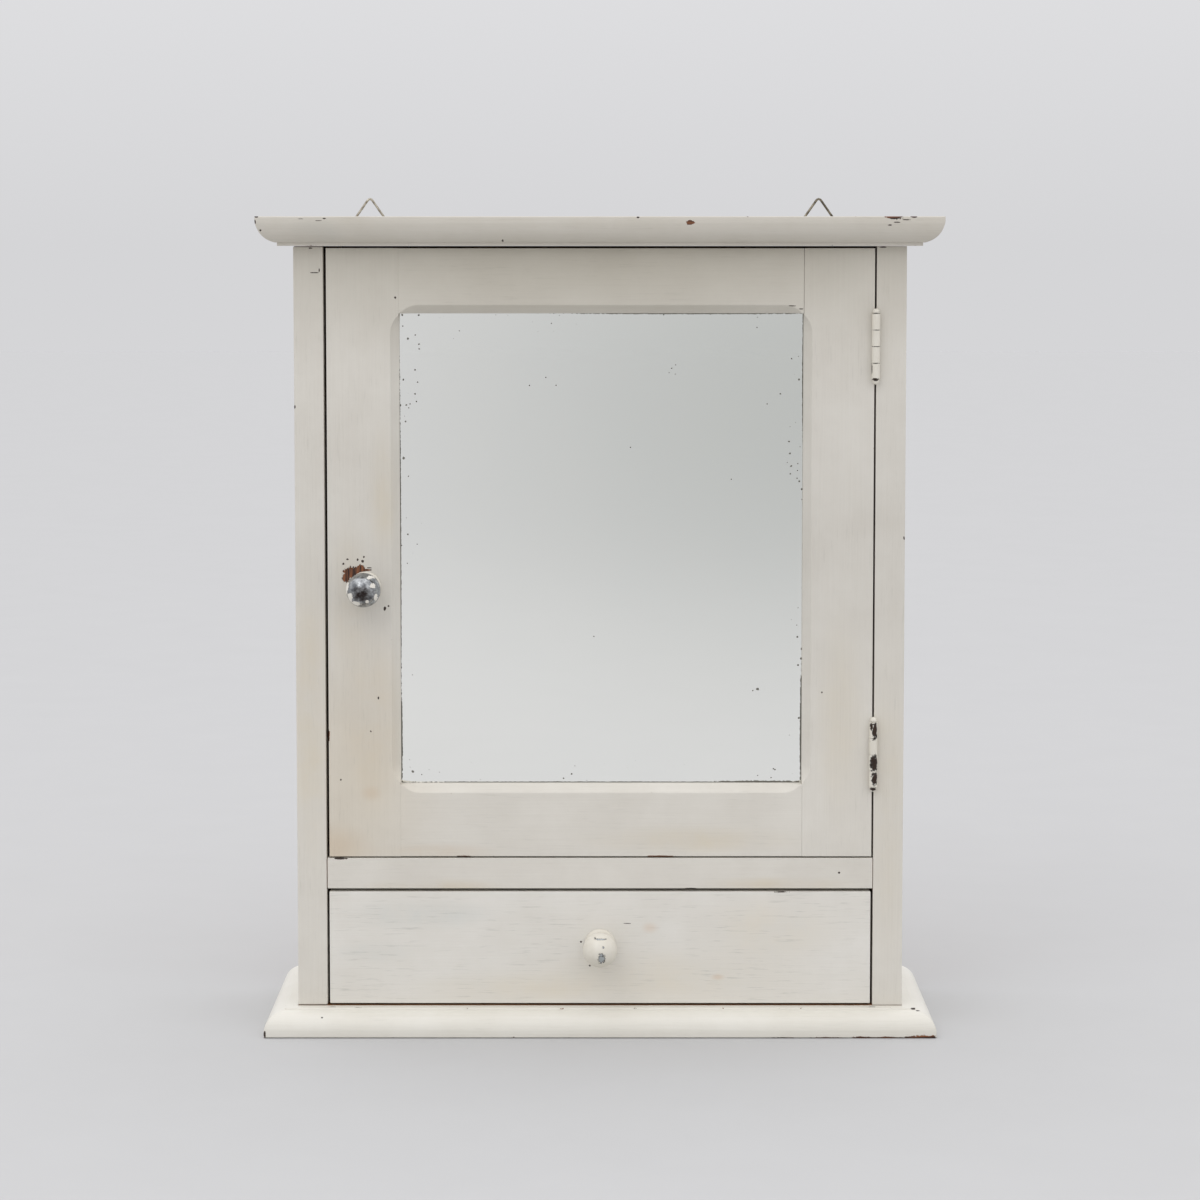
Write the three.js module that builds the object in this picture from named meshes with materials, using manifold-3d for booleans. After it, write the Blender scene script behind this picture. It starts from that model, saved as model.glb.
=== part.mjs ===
// A hanging wall cabinet: a painted wooden case with a mirrored door over a drawer, hung on a wall
// by two wire rings. Millimetres, +X to the right, +Y to the wall, +Z up. The origin is the
// centre of the back panel's wall side. Inside the cabinet group, z = 0 is the base's underside.

import * as THREE from 'three';
import { mergeVertices } from 'three/addons/utils/BufferGeometryUtils.js';
import Module from 'manifold-3d';

// ---------------------------------------------------------------------------------------------
// Driving dimensions

const FIT = 0.2; // gap left between wooden pieces that are glued or rest on each other

// Carcass
const CARCASS_W = 400; // over the two side boards
const CARCASS_D = 130; // from the wall to the front of the side boards
const SIDE_T = 19.5;
const DRAWER_OPENING_H = 78.3;
const MID_RAIL_H = 20.5;
const MID_RAIL_D = 20;
const DOOR_OPENING_H = 403.2;
const DIVIDER_T = 9;
const HOUSING_DEPTH = 5; // how far the divider is let into each side board
const BACK_T = 6;
const BACK_REBATE_W = 9; // how far the back panel laps onto each side board
const SHELF_T = 12;
const SHELF_RISE = 205; // from the compartment's floor to the shelf's underside
const CLEAT_W = 8;
const CLEAT_H = 12;
const DOOR_STOP_W = 8;
const DOOR_STOP_D = 10;

// Cornice: a top board with a moulding planted on three sides
const CORNICE_T = 19;
const CORNICE_PROJECTION = 22.4;
const CORNICE_FILLET_P = 9.3; // the small square at the bottom of the moulding
const CORNICE_FILLET_H = 2.2;
const CORNICE_QUIRK = 1.2; // the step from the fillet out to the curve
const CORNICE_EDGE_H = 3.6; // the upright edge at the top
const CORNICE_FULLNESS = 0.63; // 0 is a straight slope, 1 fills the square corner

// Base: a bottom board with a moulding planted on three sides
const BASE_T = 17;
const BASE_PROJECTION = 21;
const BASE_FILLET_P = 8.2; // the flat that the side boards seem to stand on
const BASE_QUIRK = 0.9; // the drop from that flat to the curve
const BASE_EDGE_H = 4.3; // the upright edge at the bottom
const BASE_FULLNESS = 0.75;

// Door
const DOOR_T = 20;
const DOOR_GAP_TOP = 1.4;
const DOOR_GAP_BOTTOM = 1.0;
const DOOR_GAP_LOCK = 1.8; // at the knob's side
const DOOR_GAP_HINGE = 1.2;
const LOCK_STILE_W = 47.2;
const HINGE_STILE_W = 46.1;
const TOP_RAIL_H = 42.6;
const BOTTOM_RAIL_H = 48;
const TENON_T = 7;
const TENON_L = 20;
const TENON_SHOULDER = 8; // wood left above and below each tenon
const CHAMFER = 5.5;
const CHAMFER_STOP = 12; // length over which a chamfer dies away
const CHAMFER_MARGIN = 1; // from the end of the chamfer to the corner of the opening
const GLASS_LIP = 9; // wood in front of the glass
const GLASS_LAP = 8; // how far the rebate goes in under the frame
const GLASS_T = 3;
const BACKBOARD_T = 3.2;
const BEAD_W = 7;

// Drawer
const DRAWER_GAP_SIDE = 1.5;
const DRAWER_GAP_TOP = 2;
const DRAWER_GAP_BOTTOM = 1.3;
const DRAWER_FRONT_T = 18;
const DRAWER_SIDE_T = 10;
const DRAWER_SIDE_GAP = 1; // the box is this much narrower than the front at each side
const DRAWER_SIDE_DROP = 8.3; // from the opening's top to the top of the drawer's sides
const DRAWER_RUN_GAP = 0.4; // under the sides, which slide on the bottom board
const DRAWER_BOTTOM_T = 4;
const DRAWER_BOTTOM_RISE = 6; // from the side's lower edge to the groove
const DRAWER_GROOVE = 5;
const DRAWER_STOP_D = 6;
const DRAWER_STOP_W = 24;
const DRAWER_STOP_H = 14;
const DRAWER_STOP_INSET = 40; // from the side board to the block

// Knobs
const KNOB_BALL_R = 11.3;
const KNOB_CENTRE = 18; // from the wood to the middle of the ball
const KNOB_NECK_R = 5.2;
const KNOB_HOLE_DEPTH = 11;
const ROSE_R = 10.5;
const ROSE_T = 2.5;
const KNOB_SCREW_R = 2;
const KNOB_FROM_EDGE = 24.6; // from the door's closing edge
const KNOB_HEIGHT = 178.7; // above the door's lower edge
const DRAWER_KNOB_RISE = 2; // above the middle of the drawer front

// Hinges: a door leaf, a frame leaf and a pin each
const HINGE_KNUCKLE_R = 2.75;
const HINGE_KNUCKLE_H = 10.8;
const HINGE_KNUCKLES = 4;
const HINGE_LEAF_T = 1;
const HINGE_LEAF_W = 13;
const HINGE_LEAF_GAP = 0.4; // between the two leaves when the door is shut
const HINGE_CLEARANCE = 0.2; // between turning parts, and round a leaf in its recess
const HINGE_PIN_R = 1.25;
const HINGE_PIN_CLEARANCE = 0.1;
const HINGE_BUTTON_R = 2.3;
const HINGE_BUTTON_H = 3;
const HINGE_HOLE_R = 1.6;
const HINGE_HOLE_SPACING = 24;
const HINGE_TOP_INSET = 64; // from the door's top to the middle of the upper hinge
const HINGE_BOTTOM_INSET = 68.5;

// Hangers: a strap with an eye, a triangular wire ring and a screw each
const HANGER_LEFT_INSET = 41.4; // from the carcass's side to the middle of the hanger
const HANGER_RIGHT_INSET = 49.2;
const RING_WIRE_R = 0.8;
const RING_HEIGHT = 21.5; // from the bar's axis to the outside of the top corner
const RING_HALF_W = 14.5;
const RING_CORNER = 3.2; // how much of each side a rounded corner takes
const RING_END_GAP = 0.5; // where the two ends of the wire meet, inside the eye
const RING_DROP = 6.2; // from the cornice's top down to the bar
const STRAP_T = 0.85;
const STRAP_W = 10;
const STRAP_L = 12;
const STRAP_EYE_CLEARANCE = 0.35;
const HANGER_SCREW_DROP = 7;
const HANGER_SCREW_R = 1.5;
const HANGER_SCREW_L = 16;

// Magnetic catch, under the top board at the closing side
const CATCH_INSET = 32.5; // from the side board to the middle of the catch
const CATCH_BODY_W = 26;
const CATCH_FLANGE_W = 44;
const CATCH_FLANGE_T = 2;
const CATCH_H = 12;
const CATCH_D = 13;
const KEEPER_W = 24;
const KEEPER_H = 10;
const KEEPER_T = 1.4;
const KEEPER_SCREW_R = 1.5;
const KEEPER_SCREW_L = 5.5;

// Roundness of turned pieces and curves
const TURN_STEPS = 24;
const SCREW_STEPS = 16;
const CURVE_STEPS = 7;

// ---------------------------------------------------------------------------------------------
// Worked-out dimensions

const CARCASS_H = DRAWER_OPENING_H + MID_RAIL_H + DOOR_OPENING_H;
const OPENING_HALF = CARCASS_W / 2 - SIDE_T;
const FRONT_Y = -CARCASS_D;
const RAIL_Z = BASE_T + DRAWER_OPENING_H;
const FLOOR_Z = RAIL_Z + MID_RAIL_H; // floor of the compartment behind the door
const CEILING_Z = BASE_T + CARCASS_H;
const TOP_Z = CEILING_Z + CORNICE_T;
const BACK_FRONT_Y = -BACK_T - FIT; // what stands against the back panel ends here

const DOOR_W = 2 * OPENING_HALF - DOOR_GAP_LOCK - DOOR_GAP_HINGE;
const DOOR_H = DOOR_OPENING_H - DOOR_GAP_TOP - DOOR_GAP_BOTTOM;
const DOOR_Z = FLOOR_Z + DOOR_GAP_BOTTOM;
const SIGHT_X = [LOCK_STILE_W, DOOR_W - HINGE_STILE_W]; // the opening that the mirror shows in
const SIGHT_Z = [BOTTOM_RAIL_H, DOOR_H - TOP_RAIL_H];
const GLASS_Y = GLASS_LIP + FIT;
const BACKBOARD_Y = GLASS_Y + GLASS_T + FIT;
const BEAD_Y = BACKBOARD_Y + BACKBOARD_T + FIT;
const STOP_Y = FRONT_Y + DOOR_T + FIT; // front of the door stop
const SHELF_Y = STOP_Y + DOOR_STOP_D + FIT; // front of the shelf

const HINGE_X = OPENING_HALF - DOOR_GAP_HINGE / 2;
const HINGE_PROUD = HINGE_KNUCKLE_R + HINGE_CLEARANCE; // pin axis in front of the wood
const HINGE_HALF_H = (HINGE_KNUCKLES * HINGE_KNUCKLE_H) / 2;
const HINGE_HEIGHTS = { top: DOOR_H - HINGE_TOP_INSET, bottom: HINGE_BOTTOM_INSET };
const LEAF_X = [HINGE_LEAF_GAP / 2, HINGE_LEAF_GAP / 2 + HINGE_LEAF_T];

const DRAWER_W = 2 * (OPENING_HALF - DRAWER_GAP_SIDE);
const DRAWER_SIDE_H = DRAWER_OPENING_H - DRAWER_SIDE_DROP;
const DRAWER_D = CARCASS_D + BACK_FRONT_Y - DRAWER_STOP_D - FIT;
const KNOB_REAR = ROSE_T + 2 * FIT;

const HANGER_LEFT_X = HANGER_LEFT_INSET - CARCASS_W / 2;
const HANGER_RIGHT_X = CARCASS_W / 2 - HANGER_RIGHT_INSET;
const STRAP_EYE_R = RING_WIRE_R + STRAP_EYE_CLEARANCE;
const RING_Y = FIT + STRAP_T + STRAP_EYE_R;
const RING_Z = TOP_Z - RING_DROP;
const CATCH_X = CATCH_INSET - OPENING_HALF;
const KEEPER_X = CATCH_INSET - DOOR_GAP_LOCK; // from the door's closing edge
const KEEPER_Z = CEILING_Z - FIT - CATCH_H / 2;

// ---------------------------------------------------------------------------------------------
// Finishes

const CREAM_PAINT = { color: 0xe4e0d6, roughness: 0.55, metalness: 0 };
const BARE_WOOD = { color: 0xb08a5e, roughness: 0.75, metalness: 0 };
const PLYWOOD = { color: 0xa98a62, roughness: 0.8, metalness: 0 };
const MIRROR = { color: 0xdfe3e2, roughness: 0.04, metalness: 1 };
const CHROMED = { color: 0xb9b9b6, roughness: 0.25, metalness: 1 };
const PAINTED_STEEL = { color: 0xdedacf, roughness: 0.5, metalness: 0.2 };
const DARK_STEEL = { color: 0x5d5852, roughness: 0.45, metalness: 0.9 };
const ZINC = { color: 0x9c9c98, roughness: 0.4, metalness: 0.9 };
const BROWN_PLASTIC = { color: 0x5b4031, roughness: 0.5, metalness: 0 };

// ---------------------------------------------------------------------------------------------
// Tools

const wasm = await Module();
wasm.setup();

// Turns a closed geometry into a solid that can be cut or joined.
function toSolid(geometry) {
  const bare = geometry.clone();
  bare.deleteAttribute('normal');
  bare.deleteAttribute('uv');
  const merged = mergeVertices(bare, 1e-4);
  const triVerts = new Uint32Array(merged.index.array);
  const vertProperties = new Float32Array(merged.attributes.position.array);
  return new wasm.Manifold(new wasm.Mesh({ numProp: 3, vertProperties, triVerts }));
}

// Turns a solid back into a geometry.
function toGeometry(solid) {
  const { vertProperties, triVerts } = solid.getMesh();
  const geometry = new THREE.BufferGeometry();
  geometry.setAttribute('position', new THREE.BufferAttribute(vertProperties, 3));
  geometry.setIndex(new THREE.BufferAttribute(triVerts, 1));
  geometry.computeVertexNormals();
  return geometry;
}

// A geometry with others cut away from it.
function cut(geometry, ...cutters) {
  return toGeometry(cutters.reduce((solid, cutter) => solid.subtract(toSolid(cutter)), toSolid(geometry)));
}

// Several geometries joined into one.
function join(first, ...others) {
  return toGeometry(others.reduce((solid, other) => solid.add(toSolid(other)), toSolid(first)));
}

// A box that fills the given [low, high] spans.
function block(x, y, z) {
  const geometry = new THREE.BoxGeometry(x[1] - x[0], y[1] - y[0], z[1] - z[0]);
  return geometry.translate((x[0] + x[1]) / 2, (y[0] + y[1]) / 2, (z[0] + z[1]) / 2);
}

// A round rod along Y from one height to another, as a hole's cutter.
function rodAlongY(radius, x, y, z) {
  const geometry = new THREE.CylinderGeometry(radius, radius, y[1] - y[0], SCREW_STEPS);
  return geometry.translate(x, (y[0] + y[1]) / 2, z);
}

// Adds a named mesh with a material of its own to a group.
function add(group, name, geometry, finish, x = 0, y = 0, z = 0) {
  const mesh = new THREE.Mesh(geometry, new THREE.MeshStandardMaterial(finish));
  mesh.name = name;
  mesh.position.set(x, y, z);
  group.add(mesh);
  return mesh;
}

// Adds a plain board that fills the given spans of its group.
function addBoard(group, name, x, y, z, finish) {
  const geometry = new THREE.BoxGeometry(x[1] - x[0], y[1] - y[0], z[1] - z[0]);
  return add(group, name, geometry, finish, (x[0] + x[1]) / 2, (y[0] + y[1]) / 2, (z[0] + z[1]) / 2);
}

// Adds a group to another at a place.
function addGroup(parent, x, y, z) {
  const group = new THREE.Group();
  group.position.set(x, y, z);
  parent.add(group);
  return group;
}

// Curves a shape's outline from its current point to `end`, bulging towards `corner`.
function bulgeTo(shape, end, corner, fullness) {
  const middle = shape.currentPoint.clone().add(end).multiplyScalar(0.5);
  const control = middle.lerp(corner, fullness);
  shape.quadraticCurveTo(control.x, control.y, end.x, end.y);
}

// A strip with its back at x = 0, from y = 0 to y = -length. `section` is drawn with x outwards and
// y upwards. A mitred end slides each point along the strip by its distance from the back.
function strip(section, length, mitreRear, mitreFront) {
  const settings = { depth: length, bevelEnabled: false, curveSegments: CURVE_STEPS };
  const geometry = new THREE.ExtrudeGeometry(section, settings);
  const points = geometry.attributes.position;
  for (let i = 0; i < points.count; i += 1) {
    const slide = points.getZ(i) > length / 2 ? mitreFront : -mitreRear;
    points.setZ(i, points.getZ(i) + slide * points.getX(i));
  }
  return geometry.rotateX(Math.PI / 2);
}

// A turned piece about the Y axis, from outline points [radius, y] in order of rising y.
function turned(outline, steps = TURN_STEPS) {
  return new THREE.LatheGeometry(outline.map(([r, y]) => new THREE.Vector2(r, y)), steps);
}

// A slotted screw with its head to +Y, its head's underside at y = 0 and its point at y = -length.
function screw(headR, headH, shankR, length) {
  const body = turned(
    [
      [0, -length],
      [shankR, -length + 2 * shankR],
      [shankR, 0],
      [headR, 0],
      [headR * 0.93, headH * 0.55],
      [headR * 0.6, headH],
      [0, headH],
    ],
    SCREW_STEPS,
  );
  const slot = block([-headR - 1, headR + 1], [headH * 0.45, headH + 1], [-0.4, 0.4]);
  return cut(body, slot);
}

// ---------------------------------------------------------------------------------------------
// Mouldings

function corniceSection() {
  const curveStart = new THREE.Vector2(CORNICE_FILLET_P + CORNICE_QUIRK, CORNICE_FILLET_H);
  const curveEnd = new THREE.Vector2(CORNICE_PROJECTION, CORNICE_T - CORNICE_EDGE_H);
  const section = new THREE.Shape();
  section.moveTo(0, 0);
  section.lineTo(CORNICE_FILLET_P, 0);
  section.lineTo(CORNICE_FILLET_P, CORNICE_FILLET_H);
  section.lineTo(curveStart.x, curveStart.y);
  bulgeTo(section, curveEnd, new THREE.Vector2(curveEnd.x, curveStart.y), CORNICE_FULLNESS);
  section.lineTo(CORNICE_PROJECTION, CORNICE_T);
  section.lineTo(0, CORNICE_T);
  return section;
}

function baseSection() {
  const curveStart = new THREE.Vector2(BASE_PROJECTION, BASE_EDGE_H);
  const curveEnd = new THREE.Vector2(BASE_FILLET_P, BASE_T - BASE_QUIRK);
  const section = new THREE.Shape();
  section.moveTo(0, 0);
  section.lineTo(BASE_PROJECTION, 0);
  section.lineTo(curveStart.x, curveStart.y);
  bulgeTo(section, curveEnd, new THREE.Vector2(curveStart.x, curveEnd.y), BASE_FULLNESS);
  section.lineTo(BASE_FILLET_P, BASE_T);
  section.lineTo(0, BASE_T);
  return section;
}

// Plants a moulding round the front and the two sides of a board, at the board's underside.
function addMoulding(group, name, section, z) {
  const back = CARCASS_W / 2 + FIT;
  const sideL = CARCASS_D + FIT / 2; // FIT / 2 short of the mitre's corner
  const frontL = CARCASS_W + FIT;
  add(group, `${name}_right`, strip(section, sideL, 0, 1), CREAM_PAINT, back, 0, z);
  const front = add(group, `${name}_front`, strip(section, frontL, 1, 1), CREAM_PAINT);
  front.position.set(frontL / 2, FRONT_Y - FIT, z);
  front.rotation.z = -Math.PI / 2;
  const left = add(group, `${name}_left`, strip(section, sideL, 1, 0), CREAM_PAINT);
  left.position.set(-back, -sideL, z);
  left.rotation.z = Math.PI;
}

// ---------------------------------------------------------------------------------------------
// Carcass

// The recess that a hinge leaf lies in, in the hinge's own frame: side is 1 for the frame leaf at
// +X and -1 for the door leaf.
function leafRecess(side) {
  const deep = LEAF_X[1] + HINGE_CLEARANCE;
  const x = side > 0 ? [0, deep] : [-deep, 0];
  const y = [0, HINGE_PROUD + HINGE_LEAF_W + HINGE_CLEARANCE];
  const z = [-HINGE_HALF_H - HINGE_CLEARANCE, HINGE_HALF_H + HINGE_CLEARANCE];
  return block(x, y, z);
}

// A side board's plan, with the rebate for the back panel. side is 1 at the right, -1 at the left.
function sideBoardPlan(side) {
  const inner = OPENING_HALF * side;
  const lap = (OPENING_HALF + BACK_REBATE_W) * side;
  const outer = (CARCASS_W / 2) * side;
  const plan = new THREE.Shape();
  plan.moveTo(inner, FRONT_Y);
  plan.lineTo(outer, FRONT_Y);
  plan.lineTo(outer, 0);
  plan.lineTo(lap, 0);
  plan.lineTo(lap, BACK_FRONT_Y);
  plan.lineTo(inner, BACK_FRONT_Y);
  return plan;
}

function addSideBoard(group, name, side, hingeZ) {
  const height = CARCASS_H - 2 * FIT;
  const board = new THREE.ExtrudeGeometry(sideBoardPlan(side), { depth: height, bevelEnabled: false });
  board.translate(0, 0, BASE_T + FIT);
  const inner = OPENING_HALF * side;
  const housed = (OPENING_HALF + HOUSING_DEPTH + FIT) * side;
  const housing = block(
    [Math.min(inner, housed), Math.max(inner, housed)],
    [FRONT_Y + MID_RAIL_D, 0],
    [FLOOR_Z - DIVIDER_T - FIT, FLOOR_Z + FIT],
  );
  const recesses = hingeZ.map((z) => leafRecess(1).translate(HINGE_X, FRONT_Y - HINGE_PROUD, z));
  add(group, name, cut(board, housing, ...recesses), CREAM_PAINT);
}

function addCarcass(cabinet) {
  const half = CARCASS_W / 2;
  const inside = [-OPENING_HALF + FIT, OPENING_HALF - FIT];
  const hingeZ = Object.values(HINGE_HEIGHTS).map((height) => DOOR_Z + height);
  addSideBoard(cabinet, 'side_board_left', -1, []);
  addSideBoard(cabinet, 'side_board_right', 1, hingeZ);

  const topBoard = block([-half, half], [FRONT_Y, 0], [CEILING_Z, TOP_Z]);
  const hangerHoles = [HANGER_LEFT_X, HANGER_RIGHT_X].map((x) =>
    rodAlongY(HANGER_SCREW_R + FIT, x, [-HANGER_SCREW_L, 1], RING_Z - HANGER_SCREW_DROP));
  add(cabinet, 'top_board', cut(topBoard, ...hangerHoles), CREAM_PAINT);
  addMoulding(cabinet, 'cornice', corniceSection(), CEILING_Z);
  addBoard(cabinet, 'bottom_board', [-half, half], [FRONT_Y, 0], [0, BASE_T], CREAM_PAINT);
  addMoulding(cabinet, 'base_moulding', baseSection(), 0);

  const lap = OPENING_HALF + BACK_REBATE_W - FIT;
  const backZ = [BASE_T + FIT, CEILING_Z - FIT];
  addBoard(cabinet, 'back_panel', [-lap, lap], [-BACK_T, 0], backZ, PLYWOOD);

  const railY = [FRONT_Y, FRONT_Y + MID_RAIL_D - FIT];
  addBoard(cabinet, 'mid_rail', inside, railY, [RAIL_Z, FLOOR_Z], CREAM_PAINT);
  const housed = OPENING_HALF + HOUSING_DEPTH;
  const dividerY = [FRONT_Y + MID_RAIL_D, BACK_FRONT_Y];
  const dividerZ = [FLOOR_Z - DIVIDER_T, FLOOR_Z];
  addBoard(cabinet, 'divider_board', [-housed, housed], dividerY, dividerZ, CREAM_PAINT);

  const stopX = [inside[0], inside[0] + DOOR_STOP_W];
  const stopZ = [FLOOR_Z + FIT, CEILING_Z - FIT];
  addBoard(cabinet, 'door_stop_strip', stopX, [STOP_Y, STOP_Y + DOOR_STOP_D], stopZ, CREAM_PAINT);

  const shelfZ = FLOOR_Z + SHELF_RISE;
  const shelfY = [SHELF_Y, BACK_FRONT_Y];
  addBoard(cabinet, 'shelf', inside, shelfY, [shelfZ, shelfZ + SHELF_T], CREAM_PAINT);
  const cleatZ = [shelfZ - FIT - CLEAT_H, shelfZ - FIT];
  const leftCleatX = [inside[0], inside[0] + CLEAT_W];
  const rightCleatX = [inside[1] - CLEAT_W, inside[1]];
  addBoard(cabinet, 'shelf_cleat_left', leftCleatX, shelfY, cleatZ, CREAM_PAINT);
  addBoard(cabinet, 'shelf_cleat_right', rightCleatX, shelfY, cleatZ, CREAM_PAINT);

  const blockY = [BACK_FRONT_Y - DRAWER_STOP_D, BACK_FRONT_Y];
  const blockZ = [BASE_T + FIT, BASE_T + FIT + DRAWER_STOP_H];
  const near = OPENING_HALF - DRAWER_STOP_INSET - DRAWER_STOP_W;
  const far = OPENING_HALF - DRAWER_STOP_INSET;
  addBoard(cabinet, 'drawer_stop_left', [-far, -near], blockY, blockZ, BARE_WOOD);
  addBoard(cabinet, 'drawer_stop_right', [near, far], blockY, blockZ, BARE_WOOD);
}

// The catch: a flange screwed up under the top board and a body that holds the magnet.
function addCatch(cabinet) {
  const outline = new THREE.Shape();
  const flange = CATCH_FLANGE_W / 2;
  const body = CATCH_BODY_W / 2;
  outline.moveTo(-flange, 0);
  outline.lineTo(-flange, -CATCH_FLANGE_T);
  outline.lineTo(-body, -CATCH_FLANGE_T);
  outline.lineTo(-body, -CATCH_H);
  outline.lineTo(body, -CATCH_H);
  outline.lineTo(body, -CATCH_FLANGE_T);
  outline.lineTo(flange, -CATCH_FLANGE_T);
  outline.lineTo(flange, 0);
  const geometry = new THREE.ExtrudeGeometry(outline, { depth: CATCH_D, bevelEnabled: false });
  geometry.rotateX(Math.PI / 2); // now from y = 0 to y = -CATCH_D
  const rear = FRONT_Y + DOOR_T + FIT + KEEPER_T + FIT + CATCH_D;
  add(cabinet, 'catch_body', geometry, BROWN_PLASTIC, CATCH_X, rear, CEILING_Z - FIT);
}

// ---------------------------------------------------------------------------------------------
// Knobs

// A ball on a neck, with a blind hole for its screw. The wood's face is y = 0, the front is -Y.
function knob() {
  const neckAngle = Math.asin(KNOB_NECK_R / KNOB_BALL_R);
  const outline = [];
  for (let i = 0; i <= TURN_STEPS / 2; i += 1) {
    const angle = ((Math.PI - neckAngle) * i) / (TURN_STEPS / 2);
    outline.push([KNOB_BALL_R * Math.sin(angle), -KNOB_CENTRE - KNOB_BALL_R * Math.cos(angle)]);
  }
  outline[0][0] = 0;
  const holeR = KNOB_SCREW_R + FIT;
  outline.push([KNOB_NECK_R, -KNOB_REAR - 1.5]);
  outline.push([KNOB_NECK_R + 1.5, -KNOB_REAR]);
  outline.push([holeR, -KNOB_REAR]);
  outline.push([holeR, -KNOB_REAR - KNOB_HOLE_DEPTH]);
  outline.push([0, -KNOB_REAR - KNOB_HOLE_DEPTH]);
  return turned(outline);
}

// The round plate between a knob and the wood.
function rose() {
  const holeR = KNOB_SCREW_R + FIT;
  return turned([
    [holeR, -ROSE_T - FIT],
    [ROSE_R * 0.72, -ROSE_T - FIT],
    [ROSE_R * 0.9, -ROSE_T * 0.75 - FIT],
    [ROSE_R, -ROSE_T * 0.3 - FIT],
    [ROSE_R, -FIT],
    [holeR, -FIT],
    [holeR, -ROSE_T - FIT],
  ]);
}

// Adds a knob, its rose and the screw that holds them from behind wood of the given thickness.
function addKnob(group, name, x, y, z, woodT) {
  const screwL = woodT + FIT + KNOB_REAR + KNOB_HOLE_DEPTH - 1;
  add(group, `${name}_rose`, rose(), PAINTED_STEEL, x, y, z);
  add(group, name, knob(), CHROMED, x, y, z);
  add(group, `${name}_screw`, screw(4, 2.2, KNOB_SCREW_R, screwL), ZINC, x, y + woodT + FIT, z);
}

// The hole for a knob's screw.
function knobHole(x, z, woodT) {
  return rodAlongY(KNOB_SCREW_R + FIT, x, [-1, woodT + 1], z);
}

// ---------------------------------------------------------------------------------------------
// Hinges. Each is drawn about its pin: the pin is the Z axis, and z = 0 is its middle.

// One leaf. side is 1 for the frame leaf at +X and -1 for the door leaf at -X.
function hingeLeaf(side) {
  const x = side > 0 ? LEAF_X : [-LEAF_X[1], -LEAF_X[0]];
  const plateY = [HINGE_KNUCKLE_R + HINGE_CLEARANCE, HINGE_PROUD + HINGE_LEAF_W];
  const plate = block(x, plateY, [-HINGE_HALF_H, HINGE_HALF_H]);
  const firstKnuckle = side > 0 ? 1 : 0; // knuckles alternate, and the door leaf has the top one
  const parts = [];
  for (let i = firstKnuckle; i < HINGE_KNUCKLES; i += 2) {
    const middle = HINGE_HALF_H - (i + 0.5) * HINGE_KNUCKLE_H;
    const height = HINGE_KNUCKLE_H - HINGE_CLEARANCE;
    const barrel = new THREE.CylinderGeometry(HINGE_KNUCKLE_R, HINGE_KNUCKLE_R, height, TURN_STEPS);
    const web = block(x, [0, plateY[0] + 1], [middle - height / 2, middle + height / 2]);
    parts.push(barrel.rotateX(Math.PI / 2).translate(0, 0, middle), web);
  }
  const boreR = HINGE_PIN_R + HINGE_PIN_CLEARANCE;
  const bore = new THREE.CylinderGeometry(boreR, boreR, 4 * HINGE_HALF_H, TURN_STEPS).rotateX(Math.PI / 2);
  const holeY = HINGE_PROUD + HINGE_LEAF_W / 2;
  const holes = [-0.5, 0.5].map((share) => {
    const mouth = HINGE_HOLE_R + HINGE_LEAF_T; // countersunk on the side that faces the other leaf
    const hole = new THREE.CylinderGeometry(HINGE_HOLE_R, mouth, HINGE_LEAF_T * 1.1, SCREW_STEPS);
    hole.rotateZ((-Math.PI / 2) * side);
    return hole.translate((x[0] + x[1]) / 2, holeY, share * HINGE_HOLE_SPACING);
  });
  return cut(join(plate, ...parts), bore, ...holes);
}

// The pin, with a button at each end.
function hingePin() {
  const shoulder = HINGE_HALF_H + HINGE_CLEARANCE;
  const button = [
    [HINGE_PIN_R, shoulder],
    [HINGE_BUTTON_R * 0.9, shoulder],
    [HINGE_BUTTON_R, shoulder + HINGE_BUTTON_H * 0.25],
    [HINGE_BUTTON_R * 0.85, shoulder + HINGE_BUTTON_H * 0.65],
    [HINGE_BUTTON_R * 0.5, shoulder + HINGE_BUTTON_H * 0.92],
    [0, shoulder + HINGE_BUTTON_H],
  ];
  const lower = button.map(([r, y]) => [r, -y]).reverse();
  return turned([...lower, ...button]).rotateX(Math.PI / 2);
}

// ---------------------------------------------------------------------------------------------
// Door. The door group turns about the hinge pins. Inside it the panel group starts at the
// lower corner of the closing edge: x runs to the hinges, y from the front face to the back.

// Cuts a stopped chamfer along an edge of the mirror opening. `along` is the edge's direction,
// `out` points out of the wood at 45 degrees, and `middle` is the middle of the sharp edge.
function chamferCutter(length, along, out, middle) {
  const depth = CHAMFER / Math.SQRT2; // from the sharp edge in to the chamfer's face
  const end = length / 2 - CHAMFER_MARGIN;
  const full = end - CHAMFER_STOP;
  const profile = new THREE.Shape();
  profile.moveTo(-full, 0);
  profile.lineTo(full, 0);
  profile.quadraticCurveTo(full + CHAMFER_STOP * 0.55, 0, end, depth);
  profile.lineTo(end, 2 * depth);
  profile.lineTo(-end, 2 * depth);
  profile.lineTo(-end, depth);
  profile.quadraticCurveTo(-full - CHAMFER_STOP * 0.55, 0, -full, 0);
  const wide = 4 * CHAMFER;
  const settings = { depth: wide, bevelEnabled: false, curveSegments: CURVE_STEPS };
  const geometry = new THREE.ExtrudeGeometry(profile, settings);
  geometry.translate(0, -depth, -wide / 2);
  const across = new THREE.Vector3().crossVectors(along, out);
  const place = new THREE.Matrix4().makeBasis(along, out, across).setPosition(middle);
  return geometry.applyMatrix4(place);
}

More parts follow.
